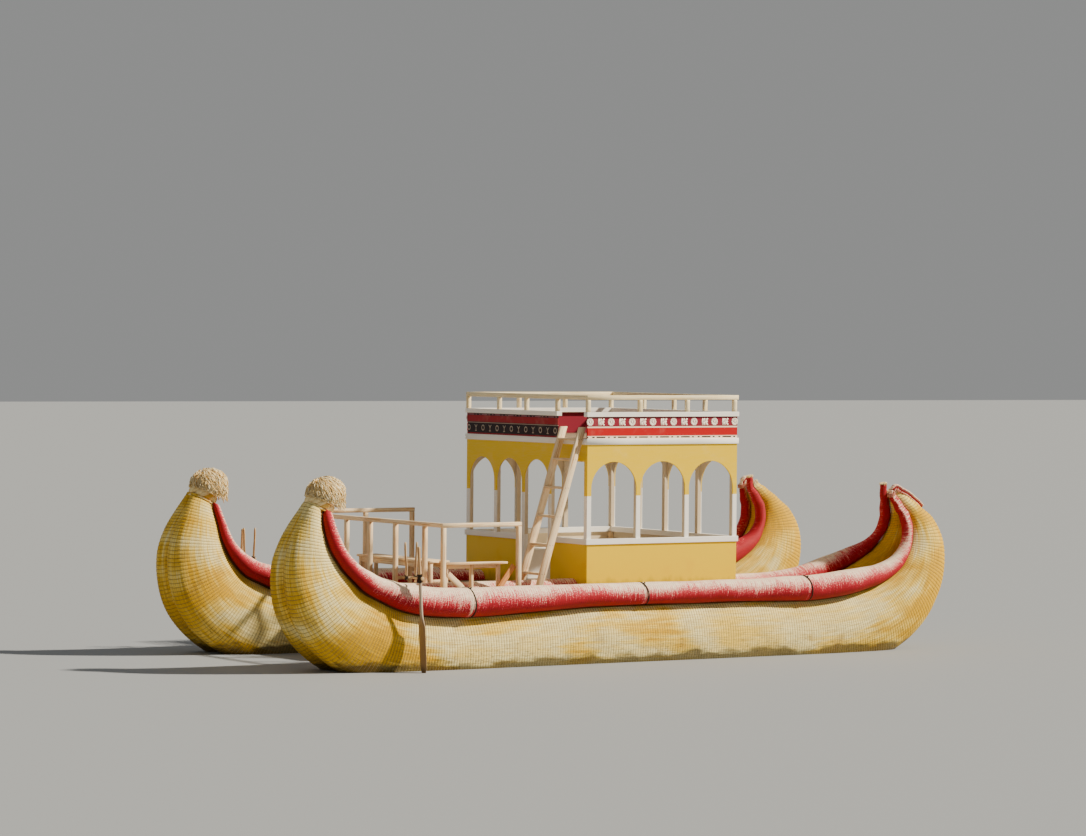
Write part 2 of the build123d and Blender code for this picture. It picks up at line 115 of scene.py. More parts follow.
def washed(add, colour, wash, share, pattern, none, full):
    # the colour with up to a share of a wash over it, as the pattern goes from none to full
    over = add("MapRange", [pattern, none, full], **smooth)
    return add("MixRGB", [add("Math", [over, share], **times), colour, wash])


def beyond(add, value, limit, soft=0.001):
    # 0 below the limit and 1 above it, with a soft edge
    return add("MapRange", [value, limit - soft, limit + soft], **smooth)


def farFrom(add, value, middle):
    # the distance from a middle
    return add("Math", [add("Math", [value, middle], **minus)], operation="ABSOLUTE")


# Camera, floor and light

cameraView = {
    "place": (31.944, 49.331, 4.532),   # metres
    "heading": -122.672,                # degrees from +X, anticlockwise from above
    "dip": 1.1206,                      # degrees below level
    "roll": 0.4714,                     # degrees
    "lens": 133.58,                     # mm, on a film 36 mm wide
}
light = {
    "heading": -31,                     # degrees; the way the key light shines, over the deck from port and aft
    "dip": 38,
    "softness": 2.5,                    # degrees across
    "key": 8.0, "keyColour": "#FFF6E6",
    "sky": 0.32, "skyColour": "#F2F3F2",
}
floorSheet = {"size": 400, "colour": "#96999B", "roughness": 0.7}


def addObject(name, data):
    # a new object in the scene
    thing = bpy.data.objects.new(name, data)
    bpy.context.scene.collection.objects.link(thing)
    return thing


def aim(look):
    # the direction of a heading and a dip
    heading, dip = radians(look["heading"]), radians(look["dip"])
    return Vector((cos(dip) * cos(heading), cos(dip) * sin(heading), -sin(dip)))


def makeCamera():
    # the photograph's view
    forward, roll = aim(cameraView), radians(cameraView["roll"])
    right = forward.cross(Vector((0, 0, 1))).normalized()
    up = right.cross(forward)
    right, up = cos(roll) * right + sin(roll) * up, cos(roll) * up - sin(roll) * right
    data = bpy.data.cameras.new("camera")
    data.lens, data.sensor_width, data.sensor_fit, data.clip_end = cameraView["lens"], 36, "HORIZONTAL", 500
    camera = addObject("camera", data)
    camera.matrix_world = (Matrix.Translation(cameraView["place"])
                           @ Matrix((right, up, -forward)).transposed().to_4x4())
    bpy.context.scene.camera = camera


def makeLight():
    # a sun softened by its size, and an even pale sky
    lamp = bpy.data.lights.new("key", "SUN")
    lamp.energy, lamp.color, lamp.angle = light["key"], linear(light["keyColour"])[:3], radians(light["softness"])
    addObject("key", lamp).rotation_euler = aim(light).to_track_quat("-Z", "Y").to_euler()
    world = bpy.data.worlds.new("studio")
    world.use_nodes = True
    inputs = world.node_tree.nodes["Background"].inputs
    inputs["Color"].default_value, inputs["Strength"].default_value = linear(light["skyColour"]), light["sky"]
    bpy.context.scene.world = world


def makeFloor():
    # a level sheet at the waterline
    half = floorSheet["size"] / 2
    mesh = bpy.data.meshes.new("floor")
    mesh.from_pydata([(-half, -half, 0), (half, -half, 0), (half, half, 0), (-half, half, 0)], [], [(0, 1, 2, 3)])
    material = newMaterial("paleFloor", floorSheet["roughness"])[0]
    material.node_tree.nodes["Principled BSDF"].inputs["Base Color"].default_value = linear(floorSheet["colour"])
    mesh.materials.append(material)
    addObject("floor", mesh)


makeCamera()
makeLight()
makeFloor()
print("camera, light and floor")


# Meshes: every piece is made of grids of points, worked out as whole arrays

def circle(count, turns=1):
    # angles at even steps, from 0 to as many turns
    return np.linspace(0, 2 * pi * turns, count)


def grid(*coordinates):
    # points, or places on a map, from one array for each coordinate
    return np.stack(np.broadcast_arrays(*coordinates), -1)


def spread(x, y, at):
    # a cubic through the points (x, y) that never overshoots them, read at the places at; its slope at a point
    # is the weighted harmonic mean of the slopes on both sides, and level where they differ in sign
    step = np.diff(x)
    rise = np.diff(y) / step
    before, after = 2 * step[1:] + step[:-1], step[1:] + 2 * step[:-1]
    same = rise[:-1] * rise[1:] > 0
    low, high = np.where(same, rise[:-1], 1), np.where(same, rise[1:], 1)
    slope = np.concatenate([rise[:1], np.where(same, (before + after) / (before / low + after / high), 0), rise[-1:]])
    n = np.clip(np.searchsorted(x, at, side="right") - 1, 0, len(x) - 2)
    return curve((at - x[n]) / step[n], y[n], y[n + 1], step[n] * slope[n], step[n] * slope[n + 1])


def curve(t, a, b, leave, arrive):
    # the cubic from a to b as t goes from 0 to 1, with its slopes at both ends
    return ((1 + 2 * t) * (1 - t) ** 2 * a + t * (1 - t) ** 2 * leave
            + t * t * (3 - 2 * t) * b + t * t * (t - 1) * arrive)


def waves(seed, *places, size=1.0):
    # smooth lumps, from about -size to size: the mean of eight sine waves with seeded directions and phases
    draw = np.random.default_rng(seed)
    total = 0
    for n in range(8):
        turns = draw.uniform(-1, 1, len(places))
        total = total + np.sin(sum(t * p for t, p in zip(turns, places)) * 2 * pi + draw.uniform(0, 2 * pi))
    return size * total / 4


def patch(points, uv, tint=0.0):
    # quads over one or more grids of points, (count, rows, columns, 3), closed round the columns, with a fan at
    # each end; the map uv has one column more, for the seam's other edge
    points, uv = (part[None] if part.ndim == 3 else part for part in (points, uv))
    count, rows, columns = points.shape[:3]
    n, r, c = np.ogrid[:count, :rows - 1, :columns]
    steps = [(0, 0), (0, 1), (1, 1), (1, 0)]
    quads = np.stack([(n * rows + r + down) * columns + (c + over) % columns for down, over in steps], -1)
    quadUv = np.stack([uv[:, down:rows - 1 + down, over:columns + over] for down, over in steps], -2)
    n, c = np.ogrid[:count, :columns]
    middle = count * rows * columns + 2 * n + c * 0
    first, last = n * rows * columns, (n * rows + rows - 1) * columns
    tris = [np.stack([middle, first + (c + 1) % columns, first + c], -1),
            np.stack([middle + 1, last + c, last + (c + 1) % columns], -1)]
    centres = np.stack([points[:, 0].mean(1), points[:, -1].mean(1)], 1)
    turn, fans = circle(columns + 1), []
    for end, at in enumerate((0, -1)):
        far = np.linalg.norm(points[:, at, np.r_[:columns, 0]] - centres[:, end, None], axis=-1)
        spot = grid(far * np.cos(turn), far * np.sin(turn))
        fans.append(np.stack([spot[:, 1:] * 0, spot[:, 1:], spot[:, :-1]], 2))
    tint = np.broadcast_to(tint, (count, rows, columns))
    return {"points": np.concatenate([points.reshape(-1, 3), centres.reshape(-1, 3)]),
            "quads": quads.reshape(-1, 4), "quadUv": quadUv.reshape(-1, 2),
            "tris": np.concatenate(tris).reshape(-1, 3), "trisUv": np.concatenate(fans).reshape(-1, 2),
            "tint": np.concatenate([tint.reshape(-1), tint[:, [0, -1], 0].reshape(-1)])}


def makePiece(name, patches, material, node=None, body="root", endMaterial=None):
    # one mesh object from patches, its faces turned outwards, riding on a body
    joined = {key: np.concatenate([part[key] for part in patches]) for key in ("points", "quadUv", "trisUv", "tint")}
    starts = np.cumsum([0] + [len(part["points"]) for part in patches])
    quads, tris = (np.concatenate([part[key] + start for part, start in zip(patches, starts)])
                   for key in ("quads", "tris"))
    mesh = bpy.data.meshes.new(name)
    mesh.from_pydata(joined["points"].tolist(), [], quads.tolist() + tris.tolist())
    spots = np.concatenate([joined["quadUv"], joined["trisUv"]]).ravel().astype(np.float32)
    mesh.uv_layers.new(name="grain").data.foreach_set("uv", spots)
    mesh.attributes.new("tint", "FLOAT", "POINT").data.foreach_set("value", joined["tint"].astype(np.float32))
    mesh.materials.append(material)
    if endMaterial:
        mesh.materials.append(endMaterial)
        mesh.polygons.foreach_set("material_index", np.repeat([0, 1], [len(quads), len(tris)]).astype(np.int32))
    mesh.polygons.foreach_set("use_smooth", np.ones(len(quads) + len(tris), bool))
    turned = bmesh.new()
    turned.from_mesh(mesh)
    bmesh.ops.recalc_face_normals(turned, faces=turned.faces)
    turned.to_mesh(mesh)
    turned.free()
    piece = addObject(name, mesh)
    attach(piece, body)
    if node:
        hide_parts(node)


def alongOf(path):
    # the way that one or more paths go at each point, of length 1
    way = np.gradient(path, axis=-2)
    return way / np.maximum(np.linalg.norm(way, axis=-1, keepdims=True), 1e-9)


def tube(path, radius, sides=6, squeeze=1.0, tint=0.0, up=(0, 0, 1)):
    # round sections square to one path, (rows, 3), or more, (count, rows, 3); squeeze flattens them towards up
    path = np.asarray(path, float)
    path = path[None] if path.ndim == 2 else path
    way = alongOf(path)
    across = np.cross(way, np.broadcast_to(np.asarray(up, float), path.shape))
    across /= np.maximum(np.linalg.norm(across, axis=-1, keepdims=True), 1e-9)
    over = np.cross(across, way)
    step = np.linalg.norm(np.diff(path, axis=1), axis=-1)
    along = np.concatenate([np.zeros((len(path), 1)), np.cumsum(step, 1)], 1)[..., None]
    turn = circle(sides + 1)
    radius = np.broadcast_to(radius, path.shape[:2])[..., None]
    points = (path[:, :, None] + (radius * np.cos(turn[:-1]))[..., None] * across[:, :, None]
              + (radius * squeeze * np.sin(turn[:-1]))[..., None] * over[:, :, None])
    tint = np.asarray(tint)[:, None, None] if np.ndim(tint) == 1 else tint
    return patch(points, grid(along, radius * turn), tint)


def smoothPath(corners, count):
    # points at even steps along a cubic through the corners, (count, 3)
    corners = np.asarray(corners, float)
    at = np.concatenate([[0], np.cumsum(np.linalg.norm(np.diff(corners, axis=0), axis=1))])
    return grid(*(spread(at, row, np.linspace(0, at[-1], count)) for row in corners.T))


# Reed and rope. The bundles are dried totora reed bound with twine: matt straw with a long grain, golden where
# the sun has not bleached it, and dirty where the water reaches. The rolls' dye is bleached on top, the cut reed
# ends are hollow stalks each of its own shade, and laid rope shows the two tones of its twist.

reedLook = {
    "bleached": "#FFEEA6", "straw": "#FFD85A", "golden": "#E6B000", "aged": "#B08A3E",
    "groove": "#86601C", "wet": "#33290F", "slime": "#302D1C",
    "grainAcross": 90,          # streaks a metre round the bundle, one for about every two reeds so that they show
    "grainAlong": 2.5,
    "patchSize": 1.1,           # patches a metre
    "flank": 1.08,              # metres down from the top crease, where the sun bleaches it least
    "cordLine": 0.13,           # share of a turn that the shadow beside the cord takes
    "splash": 0.17,             # height over the water that the dirt reaches
}
rollLook = {
    "cream": "#FFE6C4", "pink": "#F2988A", "rose": "#D42440", "crimson": "#AE0018", "deep": "#5E0010",
    # gap is a near black for the crease at the roll's foot: painted shade
    "rust": "#9A1404", "gap": "#140B08",
    "bleach": 0.34,             # share of the way down the roll where the dye is pink
    "grainAcross": 110, "grainAlong": 3.0,        # streaks a metre, each about 9 mm wide, as a flattened reed is
    "winding": 0.036,           # metres a turn
}
strawLook = {                 # streaks of 4 and 6 mm, coarser than a stalk's own fibres so that they show
    "cutReedEnds": {"pale": "#FFF0C6", "straw": "#FAD88C", "brown": "#B88840", "share": 0.45, "grainAcross": 260},
    "twistedReedBand": {"pale": "#FFE6A8", "straw": "#F6C04A", "brown": "#8A5212", "share": 0.3, "grainAcross": 160},
}
twineLook = {                 # pale and dark tone
    "reedFibreTwine": ("#CDB27C", "#7C6238"), "tarredFibreRope": ("#4A3B2E", "#1F1712"),
    # the crease twine is dark, painted shade for the crease under each roll
    "creaseShadeTwine": ("#8C5A28", "#4A2C12"), "sisalRope": ("#E2D6BC", "#A08B66"),
    "dyedReedTwist": ("#F2B49A", "#A83426"),
}


def makeReed(look):
    # "tint" counts the binding's turns, and whole numbers lie under the cord
    material, add = newMaterial("driedTotoraReed", 0.78, 0.3)
    streak = grain(add, look["grainAcross"], look["grainAlong"])
    flank = farFrom(add, axis(add, "Y", "UV"), look["flank"])
    end = add("Math", [axis(add, "X")], operation="ABSOLUTE")
    sunned = add("Math", [blotches(add, look["patchSize"], 6.0, (0.6, 1, 1.3)), 0.12], **minus)
    for part, share in ((add("MapRange", [flank, 0.25, 0.72], **smooth), -0.07),
                        (add("MapRange", [end, 3.3, 5.0], **smooth), -0.09), (grain(add, 14, 1.1), 0.30)):
        sunned = add("Math", [part, share, sunned], **timesPlus)
    colour = add("ValToRGB", [sunned], stops=[
        (0.36, look["golden"]), (0.45, look["straw"]), (0.54, look["bleached"]), (0.75, look["straw"])])
    colour = washed(add, colour, look["aged"], 0.55, blotches(add, 2.6, 6.0), 0.58, 0.78)
    colour = washed(add, colour, look["groove"], 0.42, streak, 0.62, 0.35)
    # painted shade: a dark line beside each turn of the cord, in its crease, fainter in patches
    beside = add("Math", [tintOf(add), 0.5], operation="PINGPONG")
    faint = add("MapRange", [blotches(add, 3.0, 4.0), 0.38, 0.62], **smooth)
    faint = add("Math", [faint, 0.34], **times)
    colour = washed(add, colour, look["groove"], faint, beside, look["cordLine"], 0.02)
    height = axis(add, "Z")
    # darker towards the bottom, in streaks, from 0.8 m above the water down
    low = add("MapRange", [height, 0.8, 0.0], **smooth)
    low = add("Math", [low, 0.6], **times)
    colour = washed(add, colour, look["wet"], low, grain(add, 60, 12, 5.0), 0.57, 0.68)
    ragged = add("Math", [blotches(add, 4.0, 6.0, (0.6, 0.6, 2)), look["splash"] * 2.2, -0.09],
                 **timesPlus)
    over = add("Math", [height, ragged], **minus)
    colour = washed(add, colour, look["wet"], 0.8, over, look["splash"] * 0.35, -0.03)
    colour = washed(add, colour, look["slime"], 1.0, height, 0.02, -0.08)
    dry = add("MapRange", [over, -0.03, 0.05], **smooth)
    roughness = add("Math", [dry, 0.4, 0.38], **timesPlus)
    clear = add("MapRange", [beside, 0.02, look["cordLine"]], **smooth)
    relief = add("Math", [clear, 0.8, streak], **timesPlus)
    return finish(material, colour, relief, 0.7, 0.006, roughness)


def makeDyedReed(look):
    # "tint" is 0 where the dye is bleached, on top, and 1 at the foot
    material, add = newMaterial("dyedReedRoll", 0.72, 0.3)
    streak = grain(add, look["grainAcross"], look["grainAlong"])
    down = tintOf(add)
    place = add("Math", [blotches(add, 1.3, 4.0, (1, 1, 0.3)), 0.5], **minus)
    place = add("Math", [down, place], **plus)
    worn = grain(add, 5.0, 60, 6.0)               # turn by turn, so it frays across the roll
    fine = add("Math", [grain(add, 70, 60, 3.0), 1.075], **minus)
    fine = add("Math", [worn, 1.15, fine], **timesPlus)
    place = add("Math", [place, fine], **plus)
    colour = add("ValToRGB", [place], stops=[
        (0.0, look["cream"]), (look["bleach"] - 0.15, look["cream"]), (look["bleach"], look["pink"]),
        (look["bleach"] + 0.13, look["rose"]), (look["bleach"] + 0.25, look["crimson"]), (0.9, look["crimson"]),
        (1.0, look["rust"])])
    # painted shade: near black at the very foot of the roll, in the crease against the bundle
    colour = washed(add, colour, look["gap"], 1.0, down, 0.975, 1.0)
    wound = add("Math", [axis(add, "X", "UV"), 1 / look["winding"]], **times)
    wound = add("MapRange", [add("Math", [wound, 0.5], operation="PINGPONG"), 0.2, 0.02], **smooth)
    wound = add("Math", [wound, 0.62], **times)
    colour = washed(add, colour, look["deep"], wound, grain(add, 26, 9, 4.0), 0.34, 0.62)
    colour = washed(add, colour, look["deep"], 0.22, streak, 0.6, 0.3)
    return finish(material, colour, streak, 0.6, 0.005)


def makeStraw(name, look):
    # brown where a point's tint is low and paler stalks where it is high, under fine streaks; the low tint of the bow
    # mop's skin is painted shade in the gaps between the stalks
    material, add = newMaterial(name, 0.8, 0.25)
    streak = grain(add, look["grainAcross"], 6.0)
    colour = add("ValToRGB", [tintOf(add)], stops=[
        (0.0, look["brown"]), (look["share"], look["straw"]), (look["share"] + 0.3, look["pale"])])
    colour = washed(add, colour, look["brown"], 0.35, streak, 0.6, 0.3)
    return finish(material, colour, streak, 0.5, 0.003)


def makeTwine(name, pale, dark):
    # slanting bands of two tones, 8 mm apart, where the strands turn round each other
    material, add = newMaterial(name, 0.85, 0.2)
    spot = add("Mapping", {"Vector": add("TexCoord", out="UV"), "Rotation": (0, 0, radians(35))})
    twist = add("TexWave", {"Vector": spot, "Scale": 40.0, "Distortion": 1.5, "Detail": 2.0}, out="Fac")
    colour = add("MixRGB", [twist, dark, pale])
    colour = washed(add, colour, dark, 0.5, blotches(add, 9.0), 0.45, 0.7)
    return finish(material, colour, twist, 0.7, 0.004)


driedReed = makeReed(reedLook)
dyedReed = makeDyedReed(rollLook)
headStraw, bandStraw = (makeStraw(name, look) for name, look in strawLook.items())
bindingTwine, darkRope, creaseShadeMaterial, paleRope, dyedTwine = (
    makeTwine(name, *tones) for name, tones in twineLook.items())
print("reed and rope materials")


# Hulls. Stations give the middle of each hull's section in millimetres, and between two of them its line
# is a cubic that leaves each one along its climb.

hull = {
    "stations": [
        # x, z, climb, halfWidth, halfHeight, outerRoll, innerRoll, outerDrop
        (-4765, 2303, -117, 115, 75, 55, 58, 0), (-4867, 2193, -118, 190, 112, 68, 76, 0),
        (-4995, 2034, -112, 260, 176, 80, 88, 30), (-5092, 1846, -104, 330, 287, 86, 95, 80),
        (-5122, 1572, -87, 410, 405, 92, 105, 125), (-5046, 1254, -66, 480, 490, 105, 120, 140),
        (-4805, 908, -45, 540, 570, 125, 140, 160), (-4470, 652, -30, 585, 618, 145, 150, 150),
        (-4089, 477, -19, 615, 632, 165, 160, 110), (-3490, 322, -9, 640, 612, 185, 165, 50),
        (-2600, 250, 0, 650, 600, 178, 165, 15), (-1600, 250, 0, 650, 600, 160, 165, 0),
        (500, 250, 0, 650, 600, 158, 165, 0), (3000, 250, 0, 650, 600, 206, 165, 80),
        (3826, 305, 10, 630, 596, 200, 165, 75), (4439, 469, 25.6, 585, 592, 168, 157, 45),
        (5000, 872, 54, 510, 543, 150, 145, 35), (5212, 1449, 85, 410, 434, 135, 112, 95),
        (5198, 1716, 97, 350, 354, 126, 92, 150), (5161, 1911, 101, 290, 286, 112, 74, 170),
        (5113, 2150, 106, 200, 190, 85, 62, 130), (5080, 2240, 115, 150, 165, 66, 56, 100)],
    "sternStub": (-4768, 2440, -100, 115, 75, 55, 52, 0),   # only the inner roll goes on to here
    "middle": 1.757,                # from the centreline to each hull's own middle plane
    "sizes": {"port": 1.0, "starboard": 0.985},
    "sectionEnds": 0.3,             # shares of the outline that its top and bottom arcs take
    "shoulderPlace": 0.42, "shoulderRadius": 0.47,   # of the half width
    "rollLean": radians(28.6), "rollGap": 0.003,
    "ties": {"port": [2.97, 0.07, -2.78], "starboard": [2.9, 0.1, -2.7]},
    "pitch": 0.042,                 # of the binding cord
    "slant": 0.8,                   # share of the pitch that a turn climbs on its way round the outside
    "rowsPerTurn": 3, "columns": 36,
    "pinch": 0.0055, "lumps": 0.008, "ripples": 0.003,
    "cord": 0.0032,
    "rollStep": 0.018, "rollPinch": 0.004, "rollLumps": 0.006,
    "creaseShade": 0.011,               # radius of a dark cord laid in the crease under each roll: painted shade
}

# Up the stern the outer roll's dye has kept to its forward side, away from the sun, and its foot is paler: partly
# bleaching and partly painted light and shade. It is worn beside the ties; the inner roll is redder all over, and
# most of all up the stern, where the red is partly painted shade of the hollow between the rolls
dye = {
    "outer": {"sternEnd": 1.3, "sternPaler": 0.72, "forward": 0.85, "forwardTurn": 0.35, "tieWorn": 0.5, "tie": 0.035},
    "inner": {"sternEnd": 2.5, "more": 0.16, "stern": 0.5, "most": 0.85},
}


def bundleOf(name, outer, stub=False):
    # one of a hull's two bundles. Its line is points with the arc length at each, and the stations' places and
    # sizes along it; way is outwards from the hull's middle plane
    table = np.array([hull["sternStub"]] * stub + hull["stations"], float)
    place, climb = table[:, :2] * [hull["sizes"][name], 1] / 1000, np.radians(table[:, 2])
    slope = grid(np.cos(climb), np.sin(climb))[:, None]
    a, b = place[:-1, None], place[1:, None]
    chord = np.linalg.norm(b - a, axis=-1, keepdims=True)
    run = curve(np.linspace(0, 1, 60, endpoint=False)[:, None], a, b, chord * slope[:-1], chord * slope[1:])
    run = np.concatenate([run.reshape(-1, 2), place[-1:]])
    at = np.concatenate([[0], np.cumsum(np.linalg.norm(np.diff(run, axis=0), axis=1))])
    side, kind = 1 if name == "port" else -1, "Outer" if outer else "Inner"
    return {"hull": name, "piece": name + kind, "node": f"{name}_{kind.lower()}",
            "outer": outer, "middle": hull["middle"] * side, "way": side if outer else -side,
            "at": at, "run": run, "climb": climb, "stationAt": at[::60], "sizes": table[:, 3:].T / 1000}


def sectionOf(bundle, w):
    # place, direction and sizes at arc length w; the outer bundle's top is lower than the inner one's
    x, z = (np.interp(w, bundle["at"], bundle["run"][:, n]) for n in (0, 1))
    climb = spread(bundle["stationAt"], bundle["climb"], w)
    wayX, wayZ = np.cos(climb), np.sin(climb)
    wide, high, outerRoll, innerRoll, drop = (spread(bundle["stationAt"], size, w) for size in bundle["sizes"])
    if bundle["outer"]:
        return x + wayZ * drop / 2, z - wayX * drop / 2, wayX, wayZ, wide, high - drop / 2, outerRoll
    return x, z, wayX, wayZ, wide, high, innerRoll


def placed(bundle, section, out, up):
    # points so far out from the hull's middle plane and up from its line
    x, z, wayX, wayZ = section[:4]
    return grid(x - up * wayZ, bundle["middle"] + bundle["way"] * out, z + up * wayX)


def fromShoulder(section, reach, lean):
    # out and up of a point at a reach and a lean from the middle of the shoulder's arc
    halfWidth, halfHeight = section[4:6]
    return (hull["shoulderPlace"] * halfWidth + reach * np.sin(lean),
            halfHeight - hull["shoulderRadius"] * halfWidth + reach * np.cos(lean))


def bundlePoint(bundle, w, u, lift):
    # a point on a bundle: u goes from 0 at the top crease round the outside to 1 at the bottom one, over a top arc,
    # a side arc and the top arc upside down; lift moves it outwards
    section = sectionOf(bundle, w)
    halfWidth, halfHeight = section[4:6]
    centre, radius = hull["shoulderPlace"] * halfWidth, hull["shoulderRadius"] * halfWidth
    rise, reach = halfHeight - radius, halfWidth - centre
    sideRadius = (reach ** 2 + rise ** 2 - radius ** 2) / (2 * (reach - radius))
    sideCentre = halfWidth - sideRadius
    joint = np.arctan2(rise, centre - sideCentre)
    start = np.arccos(-hull["shoulderPlace"] / hull["shoulderRadius"])
    off, ends = np.abs(0.5 - u), hull["sectionEnds"]
    onSide = off < 0.5 - ends
    angle = np.where(onSide, joint * off / (0.5 - ends), start + (joint - start) * (0.5 - off) / ends)
    out = np.where(onSide, sideCentre + sideRadius * np.cos(angle), centre + radius * np.cos(angle))
    up = np.where(onSide, sideRadius * np.sin(angle), rise + radius * np.sin(angle))
    out, up = out + lift * np.cos(angle), (up + lift * np.sin(angle)) * np.where(u > 0.5, -1.0, 1.0)
    return placed(bundle, section, np.maximum(out, 0.0), up)


def rollPoint(bundle, w, turn, lift):
    # a point on a gunwale roll: turn goes round it in radians from the top, outwards first
    section = sectionOf(bundle, w)
    radius = section[6]
    out, up = fromShoulder(section, hull["shoulderRadius"] * section[4] + radius + hull["rollGap"], hull["rollLean"])
    return placed(bundle, section, out + (radius + lift) * np.sin(turn), up + (radius + lift) * np.cos(turn))


def creasePoint(bundle, w, radius):
    # the middle of a cord that lies in the crease, against the roll and the bundle's shoulder
    section = sectionOf(bundle, w)
    roll, shoulder = section[6], hull["shoulderRadius"] * section[4]
    apart, near, far = roll + shoulder + hull["rollGap"], shoulder + radius, roll + radius
    lean = hull["rollLean"] + np.arccos((apart ** 2 + near ** 2 - far ** 2) / (2 * apart * near))
    return placed(bundle, section, *fromShoulder(section, near, lean))


def makeBundle(bundle, seed):
    # rows that lie along the binding's turns, pinched at each, and one cord laid in the pinches from end to end
    length, pitch, rowsPerTurn, slant = bundle["at"][-1], hull["pitch"], hull["rowsPerTurn"], hull["slant"]
    u = np.linspace(0, 1, hull["columns"])

    def uneven(w):
        return (waves(seed, w / 1.3, u * 3.1, size=hull["lumps"])
                + waves(seed + 1, w / 0.4, u * 9, size=hull["ripples"]))

    row = np.arange(-rowsPerTurn, int(length / pitch * rowsPerTurn) + 1)[:, None]
    w = np.clip((row / rowsPerTurn + slant * u) * pitch, 0, length)
    keep = ((w[:, 0] < length) | (w[:, -1] < length)) & (w[:, -1] > 0)
    w, row = w[keep], row[keep]
    pinch = np.where(row % rowsPerTurn == 0, hull["pinch"], 0) * np.sin(pi * np.clip(u * 8, 0, 0.5)) ** 2
    uv = grid(w, u * 2.6)
    uv = np.concatenate([uv, uv[:, -1:] + [0, 0.4]], 1)
    skin = patch(bundlePoint(bundle, w, u, uneven(w) - pinch), uv, w / pitch - slant * u)
    makePiece(bundle["piece"] + "Bundle", [skin], driedReed, bundle["node"] + "_bundle",
              endMaterial=headStraw)
    w = np.clip((np.arange(1, int(length / pitch))[:, None] + slant * u) * pitch, 0, length)
    sink = np.where((u == 0) | (u == 1), -0.012, hull["cord"] * 0.4 - hull["pinch"])
    cord = bundlePoint(bundle, w, u, uneven(w) + sink).reshape(-1, 3)
    makePiece(bundle["piece"] + "Binding", [tube(cord, hull["cord"], 3, up=(0, 0.3, 1))], bindingTwine)


def tiePlaces(bundle):
    # arc lengths at which the roll is tied down
    level = bundle["run"][:, 0]
    first, last = np.argmin(level), np.argmax(level)      # the line runs forward between these
    return [np.interp(x, level[first:last], bundle["at"][first:last]) for x in hull["ties"][bundle["hull"]]]


def makeRoll(bundle, seed):
    # a roll wound with fine turns, and a dark cord in the crease under it as painted shade; the roll's tint is how
    # far down round it a point is
    length = bundle["at"][-1]
    w = np.arange(0, length, hull["rollStep"])[:, None]
    turn = circle(21)[:-1]
    wound = np.where(np.arange(len(w))[:, None] % 2 == 0, hull["rollPinch"], 0)
    lift = waves(seed, w / 0.9, np.cos(turn), np.sin(turn), size=hull["rollLumps"]) - wound
    uv = grid(w, np.linspace(0, 0.95, 21))
    down, look = (1 - np.cos(turn)) / 2, dye["outer" if bundle["outer"] else "inner"]
    stern = np.clip(look["sternEnd"] - w, 0, 1)
    if bundle["outer"]:
        # painted light and shade up the stern: the foot paler, the forward side crimson
        forward = np.clip(np.cos(turn + look["forwardTurn"]), 0, 1) ** 0.7
        tint = down * (1 - look["sternPaler"] * stern) + look["forward"] * stern * forward
        for at in tiePlaces(bundle):
            tint = tint * (1 - look["tieWorn"] * np.exp(-((w - at - look["tie"]) / look["tie"]) ** 2))
    else:
        # redder all over, most of all up the stern: partly dye, partly painted shade
        tint = np.minimum(down + look["more"] + look["stern"] * stern, np.maximum(down, look["most"]))
    makePiece(bundle["piece"] + "Roll", [patch(rollPoint(bundle, w, turn, lift), uv, tint)], dyedReed,
              bundle["node"] + "_gunwale_roll", endMaterial=headStraw)
    # painted shade: a dark cord laid along the crease between roll and bundle
    cord = creasePoint(bundle, np.arange(0.1, length - 0.05, 0.06), hull["creaseShade"])
    makePiece(bundle["piece"] + "CreaseShadeCord", [tube(cord, hull["creaseShade"], 7, up=(0, 1, 0.1))], creaseShadeMaterial)


for seed, name in enumerate(hull["sizes"]):
    outer, inner = bundleOf(name, True), bundleOf(name, False)
    makeBundle(outer, 10 + seed)
    makeBundle(inner, 20 + seed)
    makeRoll(outer, 30 + seed)
    makeRoll(bundleOf(name, False, stub=True), 40 + seed)
print("bundles, binding and gunwale rolls")


# Bow heads: a thick twisted band round the neck, and a mop of cut reeds combed aft over it

bow = {
    "neck": (5.08, 2.24), "climb": radians(115),          # x and z of the neck's end, and its line
    "bandHalfWidth": 0.185, "bandHalfDepth": 0.205, "bandBack": 0.042, "bandTwist": 5,
    "turns": [(0.045, 0.066), (0.132, 0.034), (-0.030, 0.016)],     # how far up the neck, radius
    "tones": (0.7, 0.3, 0.5),                             # one for each of the band's three strands
    "base": 0.12,                                         # the mop starts so far up the neck
    "dome": (0.040, 0.060, 0.236), "bulge": (-0.163, 0.067, 0.206),   # back, up or x, z from the base; radius
    "joint": 30,                                          # how sharply the two meet
    "inset": 0.012,                                       # of the skin under the strands
    "crown": radians(62),                                 # how far up from the front the strands start
    "strands": 1500, "strandRadius": 0.0048, "steps": 8,
    "start": 1.45, "span": (radians(28), radians(75)), "drift": 0.16,
    "limit": (radians(118), radians(14)), "sag": 0.22,    # where strands leave the mop, and how they hang then
    "lift": (-0.006, 0.014), "bend": 0.022,
}
bowWay = np.array([cos(bow["climb"]), 0, sin(bow["climb"])])
bowBack = np.array([-sin(bow["climb"]), 0, cos(bow["climb"])])
across = np.array([0, 1, 0])


def headRadius(direction, centre, balls):
    # how far the mop's skin is from its middle: where a line leaves the farther ball, softly joined
    total = 0
    for ball, radius in balls:
        to = ball - centre
        b = direction @ to
        total = total + np.exp(bow["joint"] * (b + np.sqrt(np.maximum(b * b + radius ** 2 - to @ to, 0))))
    return np.log(total) / bow["joint"] - bow["inset"]


def above(points, foot):
    # points that lie below a foot along the neck's line are lifted to it
    return points - np.minimum(foot, 0)[..., None] * bowWay


